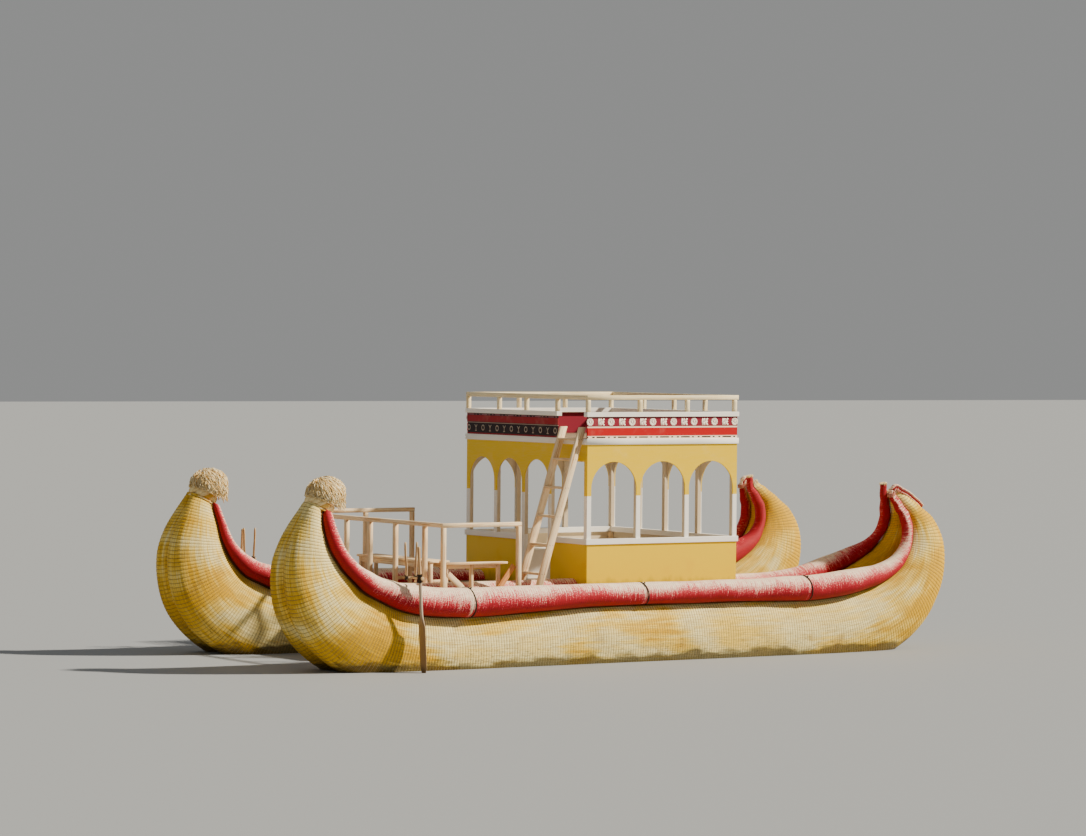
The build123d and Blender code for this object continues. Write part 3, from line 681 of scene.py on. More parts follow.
def makeBow(name, middle, size, seed):
    # the band's strands wind as helices round ovals square to the neck; the mop is a skin round two joined balls,
    # under strands that follow it
    draw = np.random.default_rng(seed)
    neck = np.array([bow["neck"][0] * size, middle, bow["neck"][1]])
    t = circle(61)[:, None]
    side = np.cross(np.cos(t) * across - np.sin(t) * bowBack, bowWay)
    parts = []
    for up, radius in bow["turns"]:
        wide, deep = bow["bandHalfWidth"] - radius * 0.75, bow["bandHalfDepth"] - radius * 0.75
        path = (neck + bowWay * (up + 0.006 * np.sin(t)) + bowBack * (bow["bandBack"] + deep * np.cos(t))
                + across * wide * np.sin(t))
        for strand, tone in enumerate(bow["tones"]):
            turn = t * bow["bandTwist"] + strand * 2 * pi / 3
            tint = tone + 0.25 * draw.random() + 0.15 * np.sin(t[:, 0] * 3)
            parts.append(tube(path + radius * 0.5 * (np.cos(turn) * side + np.sin(turn) * bowWay), radius * 0.5, 9,
                              tint=tint[None, :, None], up=bowWay))
    makePiece(f"{name}BowBand", parts, bandStraw, f"{name}_bow_band")

    base = neck + bowWay * bow["base"]
    (back, up, radius), (aft, rise, bulgeRadius) = bow["dome"], bow["bulge"]
    balls = [(base + bowBack * back + bowWay * up, radius), (base + [aft, 0, rise], bulgeRadius)]
    centre = (balls[0][0] + balls[1][0]) / 2
    sideways = np.linspace(-pi / 2 + 0.02, pi / 2 - 0.02, 25)[:, None]
    turn = circle(41)[:-1]
    way = grid(np.cos(sideways) * np.cos(turn), np.sin(sideways), np.cos(sideways) * np.sin(turn))
    skin = centre + way * (headRadius(way, centre, balls) - bow["inset"])[..., None]
    # the skin's low tint makes it browner than the strands over it: painted shade in the gaps between them
    skin = patch(above(skin, (skin - base) @ bowWay), grid(np.arange(41) * 0.03, sideways * 0.3), 0.25)
    makePiece(f"{name}BowHead", [skin], headStraw, f"{name}_bow_head")

    # strands run away from a crown over the front: down the sides, and aft over the top, where they hang free
    count, t = bow["strands"], np.linspace(0, 1, bow["steps"])
    crown = np.array([cos(bow["crown"]), 0, sin(bow["crown"])])
    level = np.array([-crown[2], 0, crown[0]])
    far = np.arccos(1 - draw.uniform(0, bow["start"], count))[:, None]
    far = far + draw.uniform(*bow["span"], count)[:, None] * t
    turn = draw.uniform(-pi, pi, count)[:, None]
    turn = turn + draw.normal(0, bow["drift"], count)[:, None] * t         # 0 points aft
    limit = bow["limit"][0] - bow["limit"][1] * np.cos(turn)
    hang, far = np.maximum(far - limit, 0), np.minimum(far, limit)
    way = (np.cos(far)[..., None] * crown + np.sin(far)[..., None]
           * (np.cos(turn)[..., None] * level + np.sin(turn)[..., None] * across))
    lift = draw.uniform(*bow["lift"], count)[:, None]
    lift = lift + draw.uniform(0, bow["bend"], count)[:, None] * (2 * t - 1) ** 2
    points = centre + way * (headRadius(way, centre, balls) + lift)[..., None]
    aftward = np.clip(np.cos(turn), 0, 1)
    points[..., 2] -= hang * bow["sag"] * (0.35 + 0.65 * aftward)
    points = above(points, (points - base) @ bowWay + 0.035 + 0.09 * aftward)
    radius = bow["strandRadius"] * draw.uniform(0.75, 1.3, count)[:, None]
    straw = tube(points, radius, 3, tint=draw.uniform(0.2, 1.0, count), up=crown)
    makePiece(f"{name}BowStraw", [straw], headStraw)


for seed, (name, size) in enumerate(hull["sizes"].items()):
    makeBow(name, hull["middle"] * (1 if name == "port" else -1), size, 50 + seed)
print("bow bands and heads")


# Stern tips: the inner roll's cut end, and the outer roll's end bent over the tip as a strap of three layers

stern = {
    "strapWidth": 0.043,
    "layers": [                  # offset from the middle line, half thickness, share of the width, tint of the dye
        (0.026, 0.018, 1.0, 0.02), (0.0, 0.018, 0.86, 0.95), (-0.028, 0.013, 0.95, 0.12)],
    "strapPlaces": [0.0, 0.07, 0.15, 0.23, 0.31, 0.385],  # how far down the bundle, on its aft side
    "strapLift": 0.024, "strapOut": 0.85,                 # off the bundle, and share of its half width
    "steps": 60,
    "wrap": {"radius": 0.0088, "step": 5, "reach": 0.056, "pitch": 0.003, "turns": 3},
    "stub": {"count": 90, "length": 0.028, "share": 0.94}, "tip": {"count": 130, "length": 0.05},
    "stalk": 0.0045,
    "tie": {"radius": 0.006, "pitch": 0.007, "skew": 0.03, "knot": 0.010, "knotRadius": 0.0045},
}


def stalks(centre, way, up, wide, high, count, length, seed):
    # cut stalk ends in an oval, standing out by different lengths
    draw = np.random.default_rng(seed)
    far, turn = np.sqrt((np.arange(count) + 0.5) / count), np.arange(count) * 2.39996
    foot = (centre + (far * np.cos(turn) * wide)[:, None] * np.cross(way, up)
            + (far * np.sin(turn) * high)[:, None] * up)
    tip = length * draw.uniform(0.25, 1, count)[:, None]
    splay = (foot - centre) * draw.uniform(0.0, 0.35, count)[:, None]
    path = np.stack([foot - way * 0.03, foot + way * tip * 0.5 + splay * 0.4, foot + way * tip + splay], 1)
    return tube(path, stern["stalk"] * draw.uniform(0.8, 1.3, count)[:, None], 5,
                tint=draw.uniform(0.4, 1, count), up=up)


def makeStern(name, outer, inner, seed):
    # the strap's layers follow one cubic from the roll's end over the tip and down the bundle's aft side, and a
    # helix of twine wraps them
    end = np.array([0.0])
    x, z, wayX, wayZ, halfWidth, halfHeight, roll = (value[0] for value in sectionOf(outer, end))
    back, middle = -np.array([wayX, 0, wayZ]), outer["middle"]
    first = rollPoint(outer, end, 0.0, -roll)[0]
    w = np.array(stern["strapPlaces"])
    out = np.minimum(abs(first[1] - middle), sectionOf(outer, w)[4] * stern["strapOut"])
    u = np.linspace(0.5, 1, 60)
    outline = np.abs(bundlePoint(outer, w[:, None], u, 0.0)[..., 1] - middle)
    pick = np.array([np.interp(-far, -row, u) for far, row in zip(out, outline)])
    later = bundlePoint(outer, w, pick, stern["strapLift"])
    top = (first + back * 0.10 + later[0] + [0, 0, 0.10]) / 2
    path = smoothPath([first - back * 0.04, first + back * 0.03, top, *later], stern["steps"])
    way = alongOf(path)
    over = np.cross(way, across)
    over *= np.sign(over[-1, 2])
    swell = np.clip(np.linspace(0, 6, stern["steps"]), 0, 1)[:, None]
    layers = [tube(path + over * offset * swell, stern["strapWidth"] * share, 12, tint=tint, up=over[30],
                   squeeze=half / (stern["strapWidth"] * share)) for offset, half, share, tint in stern["layers"]]
    makePiece(f"{name}SternCurl", layers, dyedReed, f"{name}_stern_curl")

    wrap = stern["wrap"]
    t, at = circle(61, wrap["turns"])[:, None], wrap["step"]
    cord = (path[at] + wrap["reach"] * (np.cos(t) * across + np.sin(t) * over[at])
            + way[at] * (t - pi * wrap["turns"]) * wrap["pitch"])
    makePiece(f"{name}SternWrap", [tube(cord, wrap["radius"], up=way[at])], dyedTwine)

    look = stern["tip"]
    tips = [stalks(np.array([x, middle + side * halfWidth * 0.5, z]), back, np.array([-wayZ, 0, wayX]),
                   halfWidth * 0.46, halfHeight * 0.9, look["count"], look["length"], seed + n)
            for side, n in ((outer["way"], 1), (-outer["way"], 2))]
    x, z, wayX, wayZ, _, _, roll = (value[0] for value in sectionOf(inner, end))
    look, reach = stern["stub"], roll * stern["stub"]["share"]
    stub = stalks(rollPoint(inner, end, 0.0, -roll)[0], -np.array([wayX, 0, wayZ]), np.array([wayZ, 0, -wayX]),
                  reach, reach, look["count"], look["length"], seed)
    makePiece(f"{name}SternStalks", [stub, *tips], headStraw)


def makeTies(name, outer):
    # two turns of rope round the outer roll at each place, with a knot on top
    look, parts = stern["tie"], []
    t, turn = circle(73, 2), circle(19)
    bend = grid(np.cos(turn), np.sin(turn * 2) * 0.4, np.sin(turn) * 0.7) * look["knot"]
    for at in tiePlaces(outer):
        w = at + look["pitch"] * t / (2 * pi) + look["skew"] * np.cos(t + 0.6)
        knot = rollPoint(outer, np.array([at]), np.array([0.4]), look["knot"])[0]
        parts.append(tube(rollPoint(outer, w, t, look["radius"] / 2), look["radius"], up=(1, 0, 0.1)))
        parts += [tube(knot + np.roll(bend, n, axis=1), look["knotRadius"], up=(0.2, 0.3, 1)) for n in (0, 1)]
    makePiece(f"{name}RollTies", parts, darkRope)


for seed, name in enumerate(hull["sizes"]):
    outer = bundleOf(name, True)
    makeStern(name, outer, bundleOf(name, False, stub=True), 60 + seed)
    makeTies(name, outer)
print("stern tips and ties")


# Wood and paint. Bare timber is sawn softwood, pale where the sun reaches and greyer where feet do; painted
# timber is brushed enamel, which hides the grain, shows brush marks and gathers dirt at its foot.

woodLook = {                  # light, dark, grey, and the share of grey
    "bare": ("#FFE8BE", "#D09A5C", "#D2BE9C", 0.2), "rail": ("#FFF0C6", "#E8C684", "#E0CFA8", 0.25),
    # the deck timber is dark: weathered grey, and darker still as painted shade of a deck under the cabin and
    # benches; the roof boards use it too
    "deck": ("#A88C6C", "#5C4632", "#857B6D", 0.7), "beam": ("#8A6A48", "#4A3524", "#6E655A", 0.5),
    "orange": ("#F0A860", "#B86420", "#C89860", 0.1), "peg": ("#DDBB88", "#8A6640", "#A89880", 0.3),
}
oarLook = {
    "light": "#D9B382", "dark": "#8A6238",
    "washes": [               # colour, share, how far the grain frays its edge, heights where it starts and is full
        ("#A79A8B", 0.72, -0.3, 1.12, 1.02), ("#8D6A3E", 0.85, 0.2, 0.92, 0.72), ("#4E3820", 0.7, 0.2, 0.22, 0.12)],
}
paintLook = {
    "yellow": "#F6CC00", "yellowShade": "#F0B400", "white": "#FFFAEE", "whiteWorn": "#EADCC0",
    "dirt": "#6A4A1E", "dirtFoot": 1.02, "paintChange": 2.31, "inner": "#D9C6A6",
    "outerFace": {"side": 1.612, "middle": -0.6985, "end": 1.2845},   # paint is yellow only beyond these
    "maroon": "#8E2032", "red": "#C00008", "cream": "#FFE6C8", "darkRow": "#22060A", "motif": "#FFEEDA",
    # the next five colours are darker, duller copies of red, cream, rose and the motif cream, for the end friezes
    # that face fore and aft: painted shade
    "shadeRed": "#9A0A14", "shadeCream": "#B8A08C", "shadeRose": "#A0606A", "shadeMotif": "#B9A592",
    "shadeMotifWorn": "#7E6A60",
}
frieze = {                    # each zone's lower edge and colour, the dashes' edges and colour, the outside's limit
    "side": {"zones": [(3.125, "cream"), (3.165, "red"), (3.278, "cream"), (3.298, "maroon"), (3.425, "darkRow")],
             "dashes": (3.135, 3.154, "darkRow"), "outside": ("Y", 0.0, 1.615)},
    # the end friezes, facing fore and aft, take darker copies of the side's colours: painted shade
    "end": {"zones": [(3.125, "shadeRed"), (3.145, "darkRow"), (3.292, "shadeCream"), (3.300, "darkRow"),
                      (3.308, "shadeRed"), (3.402, "darkRow")],
            "dashes": (3.409, 3.424, "shadeRose"), "outside": ("X", -0.6985, 1.285)},
}


def makeWood(name, light, dark, grey, share):
    # growth rings cut lengthwise give long uneven lines, drawn 18 mm wide so that they show, with fibres of 3 mm,
    # and each board has its own shade
    material, add = newMaterial(name, 0.7, 0.35)
    lines, fibre = grain(add, 55, 1.6, 6.0), grain(add, 330, 9.0, 3.0)
    colour = add("ValToRGB", [lines], stops=[(0.32, dark), (0.5, light), (0.72, light)])
    colour = washed(add, colour, grey, share, blotches(add, 4.0, 5.0), 0.42, 0.66)
    colour = washed(add, colour, dark, 0.3, fibre, 0.55, 0.3)
    colour = add("MixRGB", [add("Math", [tintOf(add), 0.34], **times), colour, dark])
    height = add("Math", [lines, 1.4, fibre], **timesPlus)
    return finish(material, colour, height, 0.45, 0.002)


def makeOarWood(look):
    # a pale worn handle, a greyed shaft and a darker blade where the water keeps it wet
    material, add = newMaterial("wornOarTimber", 0.6, 0.4)
    lines = grain(add, 60, 2.0, 6.0)
    colour = add("ValToRGB", [lines], stops=[(0.32, look["dark"]), (0.55, look["light"])])
    for wash, share, fray, start, full in look["washes"]:
        height = add("Math", [lines, fray, axis(add, "Z")], **timesPlus)
        colour = washed(add, colour, wash, share, height, start, full)
    return finish(material, colour, lines, 0.35, 0.002)


def makeIron():
    # plain iron: dark grey, half matt, with rust in patches
    material, add = newMaterial("rustedIron", 0.55, metallic=0.85)
    rust = add("MapRange", [blotches(add, 60.0, 4.0), 0.42, 0.6], **smooth)
    return finish(material, add("MixRGB", [rust, "#4B4A48", "#6B3A20"]), rust, 0.4, 0.001)


def brushed(add):
    # level brush strokes, drawn 11 mm wide so that they show, and worn patches
    worn = add("MapRange", [blotches(add, 3.5, 7.0), 0.55, 0.80], **smooth)
    return blotches(add, 90.0, 3.0, (0.06, 0.06, 1.0)), worn


def makePaint(name, colour, shade, dirty=False, upper=None):
    # faint strokes, worn patches, and dirt towards the foot of a dirty one; upper paints above a height
    material, add = newMaterial(name, 0.42, 0.22)
    strokes, worn = brushed(add)
    base, look = colour, paintLook
    if upper:
        base = add("MixRGB", [beyond(add, axis(add, "Z"), look["paintChange"], 0.002), colour, upper])
    if upper or dirty:
        face = look["outerFace"]
        side = beyond(add, add("Math", [axis(add, "Y")], operation="ABSOLUTE"), face["side"])
        end = beyond(add, farFrom(add, axis(add, "X"), face["middle"]), face["end"])
        outside = add("Math", [side, end], operation="MAXIMUM")
        base = add("MixRGB", [outside, look["inner"], base])
    if dirty:
        shade = add("MixRGB", [outside, look["inner"], shade])
    base = add("MixRGB", [add("Math", [worn, 0.12 if upper else 0.30], **times), base, shade])
    base = washed(add, base, shade, 0.06, strokes, 0.4, 0.7)
    if dirty:
        ragged = add("Math", [blotches(add, 7.0, 6.0, (1, 1, 0.4)), 0.30, look["dirtFoot"] - 0.12],
                     **timesPlus)
        over = add("Math", [axis(add, "Z"), ragged], **minus)
        base = washed(add, base, look["dirt"], 0.42, over, 0.10, -0.03)
    height = add("Math", [worn, 0.5, strokes], **timesPlus)
    return finish(material, base, height, 0.25, 0.002, add("Math", [worn, 0.22, 0.36], **timesPlus))


def makeFrieze(name, look):
    # the parapet's painted bands, by height, with a row of dashes in one of them
    material, add = newMaterial(name, 0.5, 0.22)
    height = axis(add, "Z")
    colour = paintLook[look["zones"][0][1]]
    for low, key in look["zones"][1:]:
        colour = add("MixRGB", [beyond(add, height, low, 0.0012), colour, paintLook[key]])
    run = add("Math", [axis(add, "X"), axis(add, "Y")], **plus)
    beat, slow = (add("Math", [add("Math", [run, pace], **times), 0.5], operation="PINGPONG")
                  for pace in (11.0, 2.73))
    dash = add("MapRange", [add("Math", [beat, slow], **plus), 0.42, 0.47], **smooth)
    low, high, ink = look["dashes"]
    band = add("Math", [beyond(add, height, low), beyond(add, height, high)], **minus)
    colour = add("MixRGB", [add("Math", [band, dash], **times), colour, paintLook[ink]])
    colour = washed(add, colour, paintLook["whiteWorn"], 0.07, blotches(add, 6.0, 7.0), 0.5, 0.75)
    letter, middle, reach = look["outside"]   # the face that looks in over the roof is plain maroon
    outside = beyond(add, farFrom(add, axis(add, letter), middle), reach)
    colour = add("MixRGB", [outside, paintLook["maroon"], colour])
    return finish(material, colour, blotches(add, 90.0, 3.0, (0.06, 0.06, 1.0)), 0.2, 0.002)


woods = {key: makeWood(f"{key}SawnTimber", *look) for key, look in woodLook.items()}
oarWood, darkIron = makeOarWood(oarLook), makeIron()
yellow, white, worn = paintLook["yellow"], paintLook["white"], paintLook["whiteWorn"]
yellowPaint = makePaint("yellowEnamelOnBoard", yellow, paintLook["yellowShade"], dirty=True)
arcadePaint = makePaint("twoToneEnamelOnBoard", white, worn, upper=yellow)
whitePaint = makePaint("whiteEnamelOnTimber", white, worn)
motifPaint = makePaint("creamMotifPaint", paintLook["motif"], worn)
# the end rows' motif paint is a darker copy of the motif cream: painted shade
shadeMotifPaint = makePaint("shadedMotifPaint", paintLook["shadeMotif"], paintLook["shadeMotifWorn"])
friezePaint = {kind: makeFrieze(f"{kind}FriezePaint", look) for kind, look in frieze.items()}
print("wood and paint materials")


# Painted boards of the cabin keep the CAD shapes, with their edges rounded

frontArches = {                     # their board is thin, with room behind it from post to post up to the head rail
    "x": (0.48, 0.576), "archTop": 2.795, "roomTop": 2.915,
    "bays": [(-1.548, -0.860), (-0.790, -0.103), (-0.033, 0.606)],
}
softened = {
    "yellow_paint": (yellowPaint, ["port_wall_panel", "starboard_wall_panel", "front_starboard_panel",
                                   "front_port_panel", "aft_wall_panel"]),
    "arcade_paint": (arcadePaint, ["port_arcade", "starboard_arcade", "front_arcade", "aft_arcade"]),
    "white_paint": (whitePaint, ["port_sill", "starboard_sill", "front_sills", "aft_sill", "doorway_jambs",
                                 "parapet_cap", "port_cabin_bench", "starboard_cabin_bench"]),
}
softEdge = 0.004


def hollow(piece, boxes):
    # cuts boxes, each a low and a high corner, out of a piece
    corner = np.array([(x, y, z) for x in (0, 1) for y in (0, 1) for z in (0, 1)])
    side = np.array([(0, 1, 3, 2), (4, 6, 7, 5), (0, 4, 5, 1), (2, 3, 7, 6), (0, 2, 6, 4), (1, 5, 7, 3)])
    low, high = np.array(boxes)[:, 0, None], np.array(boxes)[:, 1, None]
    faces = (side + 8 * np.arange(len(boxes))[:, None, None]).reshape(-1, 4)
    mesh = bpy.data.meshes.new("room")
    mesh.from_pydata((low + corner * (high - low)).reshape(-1, 3).tolist(), [], faces.tolist())
    room = addObject("room", mesh)
    cut = piece.modifiers.new("room", "BOOLEAN")
    cut.object, cut.operation, cut.solver = room, "DIFFERENCE", "EXACT"
    bpy.context.view_layer.update()
    done = bpy.data.meshes.new_from_object(piece.evaluated_get(bpy.context.evaluated_depsgraph_get()))
    piece.modifiers.clear()
    done.name = piece.data.name + "Board"
    piece.data = done
    bpy.data.objects.remove(room)
    done.polygons.foreach_set("use_smooth", np.ones(len(done.polygons), bool))
    done.set_sharp_from_angle(angle=radians(35))


def camel(node):
    # the name of a piece that stands for a CAD node
    first, *words = node.split("_")
    return first + "".join(word.title() for word in words)


def soften(node, material):
    # a copy of a CAD node whose edges are rounded off, as sanded and painted edges are
    mesh = nodes[node].data.copy()
    mesh.name = node
    mesh.materials.clear()
    mesh.materials.append(material)
    clean = bmesh.new()
    clean.from_mesh(mesh)
    bmesh.ops.remove_doubles(clean, verts=clean.verts, dist=0.0001)
    bmesh.ops.dissolve_limit(clean, angle_limit=radians(1), verts=clean.verts, edges=clean.edges)
    bmesh.ops.recalc_face_normals(clean, faces=clean.faces)
    for face in clean.faces:
        face.smooth, face.material_index = True, 0
    clean.to_mesh(mesh)
    clean.free()
    mesh.set_sharp_from_angle(angle=radians(35))
    piece = addObject(camel(node), mesh)
    if node == "front_arcade":
        top, (back, front) = frontArches["archTop"], frontArches["x"]
        hollow(piece, [[(back, a - 0.001, top - (b - a) / 2), (front, b + 0.001, frontArches["roomTop"])]
                       for a, b in frontArches["bays"]])
    bevel = piece.modifiers.new("edges", "BEVEL")
    bevel.width, bevel.segments, bevel.limit_method, bevel.angle_limit = softEdge, 2, "ANGLE", radians(40)
    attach(piece, "root")
    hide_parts(node)


for slot, (material, names) in softened.items():
    for node in names:
        soften(node, material)
for place, kind in (("port", "side"), ("starboard", "side"), ("front", "end"), ("aft", "end")):
    board = nodes[place + "_parapet"].data
    board.materials.clear()
    board.materials.append(friezePaint[kind])
print("painted boards")


# Painted ornament: rosettes or rings with sprigs between them, a millimetre proud of the parapets

ornament = {
    "side": {"height": 3.362, "ring": 0.038, "stroke": 0.0155, "petals": 10, "sprig": 0.060, "paint": motifPaint,
             "up": (0, 1, 0),
             "strokes": [             # a stem with a bar across its foot and leaves that curl away
                 [(-1.0, 0.0), (-0.3, 0.02), (0.45, 0.0)], [(0.45, -0.85), (0.52, 0.0), (0.45, 0.85)],
                 [(-0.35, 0.05), (-0.62, 0.45), (-1.05, 0.78)], [(-0.35, -0.05), (-0.62, -0.45), (-1.05, -0.78)],
                 [(0.0, 0.05), (0.05, 0.42), (-0.18, 0.80)], [(0.0, -0.05), (0.05, -0.42), (-0.18, -0.80)]]},
    # the end rows take the darker motif paint: painted shade
    "end": {"height": 3.221, "ring": 0.036, "stroke": 0.0085, "petals": 0, "sprig": 0.048, "paint": shadeMotifPaint,
            "up": (1, 0, 0),
            "strokes": [              # a stem with two leaves, and a bar at its foot
                [(0.0, -0.95), (0.02, -0.4), (0.0, 0.1)], [(0.0, 0.05), (-0.3, 0.45), (-0.75, 0.9)],
                [(0.0, 0.05), (0.3, 0.45), (0.75, 0.9)], [(-0.5, -0.95), (0.0, -0.9), (0.5, -0.95)]]},
    "proud": 0.0016,
    "rows": {                         # kind, the board's face and the way it looks, both ends, how many
        "portFrieze": ("side", 1.63, 1, 0.56, -1.95, 8), "starboardFrieze": ("side", -1.63, -1, 0.56, -1.95, 8),
        "frontFrieze": ("end", 0.6, 1, 0.78, -1.575, 7), "aftFrieze": ("end", -1.997, -1, 1.575, -1.575, 9)},
}


def makeOrnament(name, kind, skin, way, start, end, count):
    # flattened tubes at even places along a parapet: circles, petals that point away from them, and sprigs
    look = ornament[kind]
    places = np.linspace(start, end, count)[:, None]

    def drawn(at, height, stroke, thin=1.0):
        # strokes on the parapet's face through places along it, offset from the row's own height
        face = skin + way * ornament["proud"] * 0.4
        line = grid(*((at, face) if kind == "side" else (face, at)), look["height"] + height)
        return tube(line, look["stroke"] * stroke, squeeze=thin * ornament["proud"] / look["stroke"], up=look["up"])

    ring, turn = look["ring"], circle(19)
    parts = [drawn(places + ring * np.cos(turn), ring * np.sin(turn), 1.0)]
    reach = np.array([0.95, 1.25, 1.48])
    for angle in np.arange(look["petals"]) * 2 * pi / max(look["petals"], 1):
        parts.append(drawn(places + ring * reach * cos(angle), ring * reach * sin(angle), 0.8, 1.3))
    if look["petals"]:
        parts.append(drawn(places + np.array([-0.016, 0, 0.016]), 0 * places, 1.3, 0.8))
    for stroke in np.array(look["strokes"]) * look["sprig"]:
        parts.append(drawn((places[1:] + places[:-1]) / 2 + stroke[:, 0], stroke[:, 1], np.array([0.75, 1.0, 0.7])))
    makePiece(name, parts, look["paint"])


for name, row in ornament["rows"].items():
    makeOrnament(name, *row)
print("painted ornament")


# Sawn timber: decks, beams, rails, ladder and benches, each piece a box between two corners in metres

sawn = {"edge": 0.004, "wobble": 0.0012}
deck = {
    "top": 0.98, "board": 0.03, "gap": 0.006,
    "floors": {               # x from and to, y from and to, boards
        "fore_deck": (0.6, 3.06, -1.08, 1.08, 11), "cabin_floor": (-1.997, 0.6, -1.08, 1.08, 11),
        "port_side_deck": (-1.997, 3.06, 1.44, 2.045, 3), "starboard_side_deck": (-1.997, 3.06, -2.045, -1.44, 3)},
    "beams": [-1.75, -0.56, 0.54, 1.70, 2.86], "beamHalf": 0.055, "beamDepth": 0.098, "beamEnd": 2.03,
}
roof = {"top": 3.125, "bottom": 3.040, "edge": 1.65, "fore": 0.62, "aft": -2.017, "fascia": 0.03, "planks": 16}
roofRail = {
    "inset": 0.005, "foot": 3.502, "top": 3.742, "depth": 0.066, "wide": 0.060, "stock": 0.058,
    "side": (-1.983, -1.150, -0.330, 0.556), "front": (-0.724, 0.021, 0.850), "aft": (-0.8, 0.0, 0.8),
}
rail = {
    "stock": 0.062, "middle": 1.646, "fore": 2.985, "top": 1.97, "front": (-1.04, -0.37, 0.34),
    "corner": (1.145, 1.107),                      # y and foot of the front rail's post on the bench's end
    "sides": {"port": (1.646, 1.97, [1.75, 2.985]), "starboard": (-1.646, 2.04, [1.531, 2.32, 2.985])},
}
ladder = {
    "foot": (1.358, 0.98), "head": (0.631, 3.290), "half": 0.055, "sides": (1.03, 1.52), "thick": 0.04,
    "treads": (1.235, 1.640, 2.040, 2.445, 2.845, 3.130), "tread": (0.056, 0.034), "housed": 0.002,
    "nail": (0.022, 0.017, 0.0045), "nailHead": (1.562, 1.56075, 1.5595),    # from the side's face inwards
}
bench = {                     # each top's two ends, two edges and boards, and its legs and rails
    "low": 1.383, "top": 1.415, "leg": 0.05,
    "front": {"top": (-0.98, 1.06, 2.52, 2.86, 2), "gap": 0.008, "legX": (2.54, 2.79), "legY": (-0.94, 0.02, 1.0),
              "railX": (2.552, 2.808), "rail": ((0, -0.90, -0.075), (0.02, 0.98, -0.005)),
              "tie": ((2.59, 0.012, 1.10), (2.79, 0.038, 1.15))},
    "side": {"top": (1.9, 2.9, 1.45, 1.606, 1), "gap": 0, "legX": (1.96, 2.40, 2.83), "legY": 1.48,
             "rail": ((1.99, 1.468, -0.06), (2.85, 1.488, -0.004))},
}
cornerPosts = {"x": (-1.967, 0.506), "wide": 0.064, "y": (1.536, 1.6), "top": 1.622}


def timber(boxes, seed=1, tints=(0, 1), edge=sawn["edge"]):
    # sawn pieces, each a box by two corners: a rectangle with its corners cut off, carried along the longest side
    # and chamfered at both ends, a little uneven on the way
    boxes = np.asarray(boxes, float).reshape(-1, 2, 3)
    low, high = boxes.min(1), boxes.max(1)
    count, size = len(boxes), high - low
    order = np.argsort(-size, axis=1, kind="stable")
    length, wide, thick = np.take_along_axis(size, order, 1).T[:, :, None, None] / 2
    draw = np.random.default_rng(seed)
    cut = np.minimum(edge, thick * 0.35)
    t = np.array([-1, -1, -0.5, 0, 0.5, 1, 1])[:, None]
    inset, shrink = (np.array(ends)[:, None] * cut for ends in ([0, 1, 0, 0, 0, -1, 0], [1, 0, 0, 0, 0, 0, 1]))
    signA, signB = np.array([1, 1, 1, -1, -1, -1, -1, 1]), np.array([-1, 1, 1, 1, 1, -1, -1, -1])
    cutA = np.array([0, 0, 1, 1, 0, 0, 1, 1])
    uneven = draw.uniform(-sawn["wobble"], 0, (count, 7, 8))
    local = grid(t * length + inset, signA * (wide - shrink - cut * cutA) + uneven * signA,
                 signB * (thick - shrink - cut * (1 - cutA)) + uneven * signB)
    turned = np.zeros_like(local)
    np.put_along_axis(turned, order[:, None, None, :] + np.zeros(local.shape, int), local, -1)
    local = np.concatenate([local, local[:, :, :1]], 2)
    girth = np.cumsum(np.linalg.norm(np.diff(local, axis=2), axis=-1), 2)
    girth = np.concatenate([girth[..., :1] * 0, girth], 2)
    shift = draw.uniform(0, 40, (count, 1, 1))
    uv = grid(local[..., 0] + shift, girth + shift * 0.37)
    return patch(turned + ((low + high) / 2)[:, None, None], uv, draw.uniform(*tints, count)[:, None, None])


def makeSawn(name, material, slot, node, boxes, seed, **look):
    # a piece made of sawn boxes
    makePiece(name, [timber(boxes, seed, **look)], material, node)


def boards(x0, x1, y0, y1, count, z0, z1, gap=deck["gap"]):
    # boards side by side across y
    edges = np.linspace(y0, y1, count + 1)
    return [[(x0, a + gap / 2, z0), (x1, b - gap / 2, z1)] for a, b in zip(edges, edges[1:])]


def cross(boxes):
    # the same boxes turned so that they run across the boat
    return [[(a[1], a[0], a[2]), (b[1], b[0], b[2])] for a, b in boxes]


def post(x, y, z0, z1, stock):
    # a square post round a place
    return [(x - stock / 2, y - stock / 2, z0), (x + stock / 2, y + stock / 2, z1)]


def makeDecks():
    # boards side by side, on beams across the boat
    low = deck["top"] - deck["board"]
    for node, (*area, count) in deck["floors"].items():
        floor = boards(*area, count, low, deck["top"])
        # the deck's dark timber is painted shade
        makeSawn(camel(node), woods["deck"], "deck_boards", node, floor, 5 + count)
    half, end = deck["beamHalf"], deck["beamEnd"]
    beams = [[(x - half, -end, low - deck["beamDepth"]), (x + half, end, low)] for x in deck["beams"]]
    makeSawn("crossBeams", woods["beam"], "beams", "cross_beams", beams, 7, edge=0.008)


def makeRoof():
    # a white edge round planks that run across, and the ceiling under them
    e, f, a, b = roof["edge"], roof["fore"], roof["aft"], roof["fascia"]
    z0, z1 = roof["bottom"], roof["top"]
    fascia = [[(a, side * (e - b), z0), (f, side * e, z1)] for side in (1, -1)]
    fascia += [[(x, -e + b, z0), (x + b, e - b, z1)] for x in (a, f - b)]
    fascia += [[(a + b, -e + b, z0 + 0.004), (f - b, e - b, z0 + 0.022)]]
    makeSawn("roofEdge", whitePaint, "white_paint", "roof", fascia, 11)
    planks = cross(boards(-e + b, e - b, a + b, f - b, roof["planks"], z1 - b, z1 - 0.002, 0.004))
    # the planks take the deck's timber, which is darkened as painted shade
    makeSawn("roofBoards", woods["deck"], "deck_boards", None, planks, 12)


